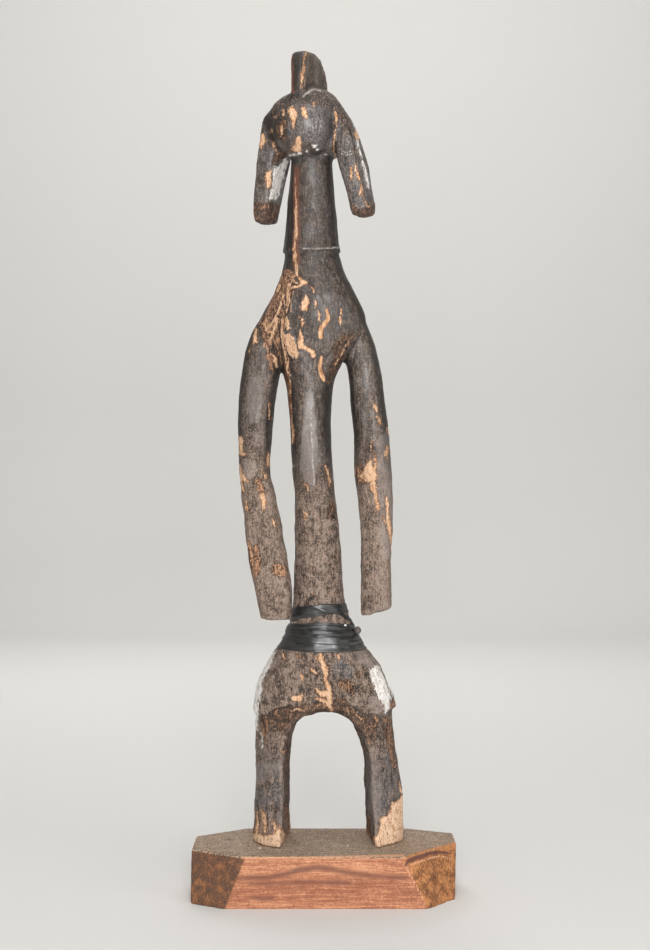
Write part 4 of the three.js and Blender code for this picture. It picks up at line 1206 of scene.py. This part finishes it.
red = ramp(marked(({}, RED_PATCHES), wander=1.5), -1.0, 1.0)
crest_side = ramp(z_mm, 868, 884) * ramp(normals[:, 0], 0.3, 0.6)
ears = ramp(np.abs(points[:, 0] + 0.015), 0.026, 0.032) * ramp(z_mm, 740, 750)
soot_and_shade = ramp(marked(({}, SOOT_AND_SHADE_PATCHES), wander=1.5), -1.2, 1.2)
# Darker between about 590 and 830 mm up, away from the ears.
soot_and_shade = np.maximum(soot_and_shade, 0.4 * ramp(z_mm, 590, 640) * ramp(z_mm, 830, 815) * (1 - ears))
# Painted shade: the wood darkens as it turns sideways, from about 430 mm up, away from the ears.
soot_and_shade = np.maximum(soot_and_shade, ramp(np.abs(normals[:, 0]), 0.38, 0.80) * ramp(z_mm, 430, 510) * (1 - ears))
soot_and_shade *= 1 - crest_side
pale_and_highlight = ramp(marked(({}, PALE_AND_HIGHLIGHT_PATCHES), wander=1.6), -1.1, 1.1)
# Painted highlight: the torso's facet is made paler still.
torso_facet = {"torso_facet": PALE_AND_HIGHLIGHT_PATCHES["torso_facet"]}
pale_and_highlight += 0.35 * ramp(marked(({}, torso_facet), wander=0.8), -0.6, 0.6)
mottled = ramp(marked(({}, MOTTLED_PATCHES), ({}, MOTTLED_PATCHES), 5.0), -3.0, 3.0)
on_arm = ramp(np.abs(points[:, 0]), 0.040, 0.052)
weathered = ramp(z_mm + 30 * noise(points, 40 * MM, 3, 2) - 25 * on_arm, 540, 405)
weathered = np.maximum(weathered, 0.32 * on_arm * ramp(z_mm, 620, 560))
weathered = np.maximum(weathered, 0.42 * crest_side)
bark = ramp(z_mm + 20 * noise(points, 25 * MM, 27), 470, 410) * (1 - 0.75 * on_arm * ramp(z_mm, 320, 335))
shins = ramp(z_mm, 172, 140) * ramp(z_mm, 72, 95)
foot = ramp(z_mm, 125, 100)
face = ramp(z_mm, 820, 828) * ramp(z_mm, 892, 880)
slate = np.maximum(shins, np.maximum(ears, face) * ramp(noise(points, 12 * MM, 17, 2), -0.6, 0.2))
slate = np.maximum(slate, 1.35 * ramp(marked(({}, SLATE_PATCHES), wander=3.0), -1.6, 1.6))
ridge = np.clip(net.spread(net.bulge(points, normals), 2) * 14, -1, 1)

rough_places = np.maximum(ramp(worn, -1.0, 2.0), ramp(bruised, -1.0, 2.0))
drop = -0.75 * tool_cuts(points, (13 * MM, 13 * MM, 36 * MM), 71)
drop += 0.22 * noise(points, (6 * MM, 6 * MM, 50 * MM), 73, 2)
drop += 0.35 * noise(points, (24 * MM, 24 * MM, 34 * MM), 8)
drop += 1.0 * ramp(gallery, -0.6, 0.9) + 0.4 * ramp(bare, -0.5, 0.8) + 0.9 * ramp(crack_and_shadow, -0.7, 0.5)
drop += rough_places * (0.3 + 1.2 * noise(points, (3.8 * MM, 3.8 * MM, 16 * MM), 21, 2))
drop -= 0.55 * ramp(tan, -0.9, 0.7)
drop -= 0.25 * ramp(kaolin, -0.4, 0.6)
drop += mottled * 0.30 * noise(points, (4 * MM, 4 * MM, 5 * MM), 23, 2)
drop += (0.12 + 0.34 * weathered) * noise(points, (4.5 * MM, 4.5 * MM, 20 * MM), 5, 2)
drop += weathered * (0.7 * noise(points, 7 * MM, 9, 2) + 0.6 * noise(points, (15 * MM, 15 * MM, 20 * MM), 15))
drop += 0.9 * ramp(z_mm, 704, 711.5) * ramp(z_mm, 713.5, 712) - 0.8 * ramp(z_mm, 712, 713.5) * ramp(z_mm, 722, 714)
# The rubber's pull has pressed the waist in.
drop += 1.6 * ramp(z_mm, 267, 275) * ramp(z_mm, 304, 297)
move_to(figure, np.clip(points - normals * (drop * MM)[:, None], *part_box("figure")))
store(figure, {"bare": bare, "gallery": gallery, "kaolin": kaolin, "crack_and_shadow": crack_and_shadow, "tan": tan, "worn": worn,
               "bruised": bruised, "lightened": lightened, "red": red, "soot_and_shade": soot_and_shade, "pale_and_highlight": pale_and_highlight, "mottled": mottled,
               "weathered": weathered, "bark": bark, "slate": slate, "ridge": ridge, "foot": foot})
replace_node(figure, "figure", wood_finish())

rubber = rubber_strip(figure)
strip_points = places(rubber)
strip_u, strip_v, _ = seen(strip_points)
knot = dusty_knot()
store(rubber, {"dust": ramp(strip_u, 345, 366) * 0.6 + ramp(strip_u, 300, 284) * 0.1,
               "fleck": np.where(directions(rubber)[:, 1] < 0, mark_depth(strip_u, strip_v, WHITE_FLECK), -MARK_REACH)})
store(knot, {"dust": np.full(len(knot.data.vertices), 1.6), "fleck": np.full(len(knot.data.vertices), -MARK_REACH)})
select_only(rubber)
knot.select_set(True)
bpy.ops.object.join()
replace_node(rubber, "waist_binding", rubber_finish())

replace_node(sawn_plank(), "plinth", plank_finish())


def backdrop():
    """A pale floor that curves up into a wall behind."""
    bpy.ops.object.select_all(action="DESELECT")
    bpy.ops.mesh.primitive_plane_add(size=9, location=(0, 0, 0))
    floor = bpy.context.object
    floor.name = "floor"
    wall_y = 3.5
    bpy.ops.object.mode_set(mode="EDIT")
    mesh = bmesh.from_edit_mesh(floor.data)
    for edge in mesh.edges:
        edge.select = all(vertex.co.y > 0 for vertex in edge.verts)
    for vertex in mesh.verts:
        if vertex.co.y > 0:
            vertex.co.y = wall_y
    mesh.select_flush_mode()
    bmesh.update_edit_mesh(floor.data)
    bpy.ops.mesh.extrude_region_move(TRANSFORM_OT_translate={"value": (0, 0, 4)})
    bpy.ops.object.mode_set(mode="OBJECT")
    apply_modifier(floor, "BEVEL", width=0.7, segments=24, limit_method="ANGLE")
    bpy.ops.object.shade_smooth()
    finish = Finish("pale_floor")
    finish.set(Base_Color=(0.78, 0.77, 0.75, 1), Roughness=0.9)
    floor.data.materials.append(finish.material)


def softbox(name, place, aim, size, power):
    light = bpy.data.lights.new(name, "AREA")
    light.shape = "RECTANGLE"
    light.size, light.size_y = size
    light.energy = power
    lamp = bpy.data.objects.new(name, light)
    lamp.location = place
    lamp.visible_camera = False
    lamp.rotation_euler = (Vector(aim) - Vector(place)).to_track_quat("-Z", "Y").to_euler()
    bpy.context.scene.collection.objects.link(lamp)


def studio():
    softbox("key", (0.06, -2.5, 0.95), (0, 0, 0.48), (0.8, 1.3), 55)
    softbox("fill", (1.7, -1.5, 0.7), (0, 0, 0.45), (0.8, 1.2), 8)
    softbox("top", (0.0, -0.5, 2.3), (0, 0, 0.4), (1.0, 0.8), 9)
    softbox("back", (-0.5, 2.2, 1.9), (0, 0, 0.45), (1.4, 1.2), 12)
    softbox("backdrop_light", (0, 1.5, 2.7), (0, 3.4, 0.5), (2.6, 0.6), 30)
    world = bpy.data.worlds.new("studio")
    world.use_nodes = True
    world.node_tree.nodes["Background"].inputs["Color"].default_value = (0.52, 0.51, 0.49, 1)
    world.node_tree.nodes["Background"].inputs["Strength"].default_value = 0.11
    bpy.context.scene.world = world


def camera():
    lens = bpy.data.cameras.new("camera")
    lens.sensor_width = 36
    lens.lens = FOCAL / 950 * lens.sensor_width
    eye = bpy.data.objects.new("camera", lens)
    eye.location = EYE
    eye.rotation_euler = (math.radians(90), 0, 0)
    bpy.context.scene.collection.objects.link(eye)
    bpy.context.scene.camera = eye


backdrop()
studio()
camera()
bpy.context.scene.view_settings.view_transform = "Standard"
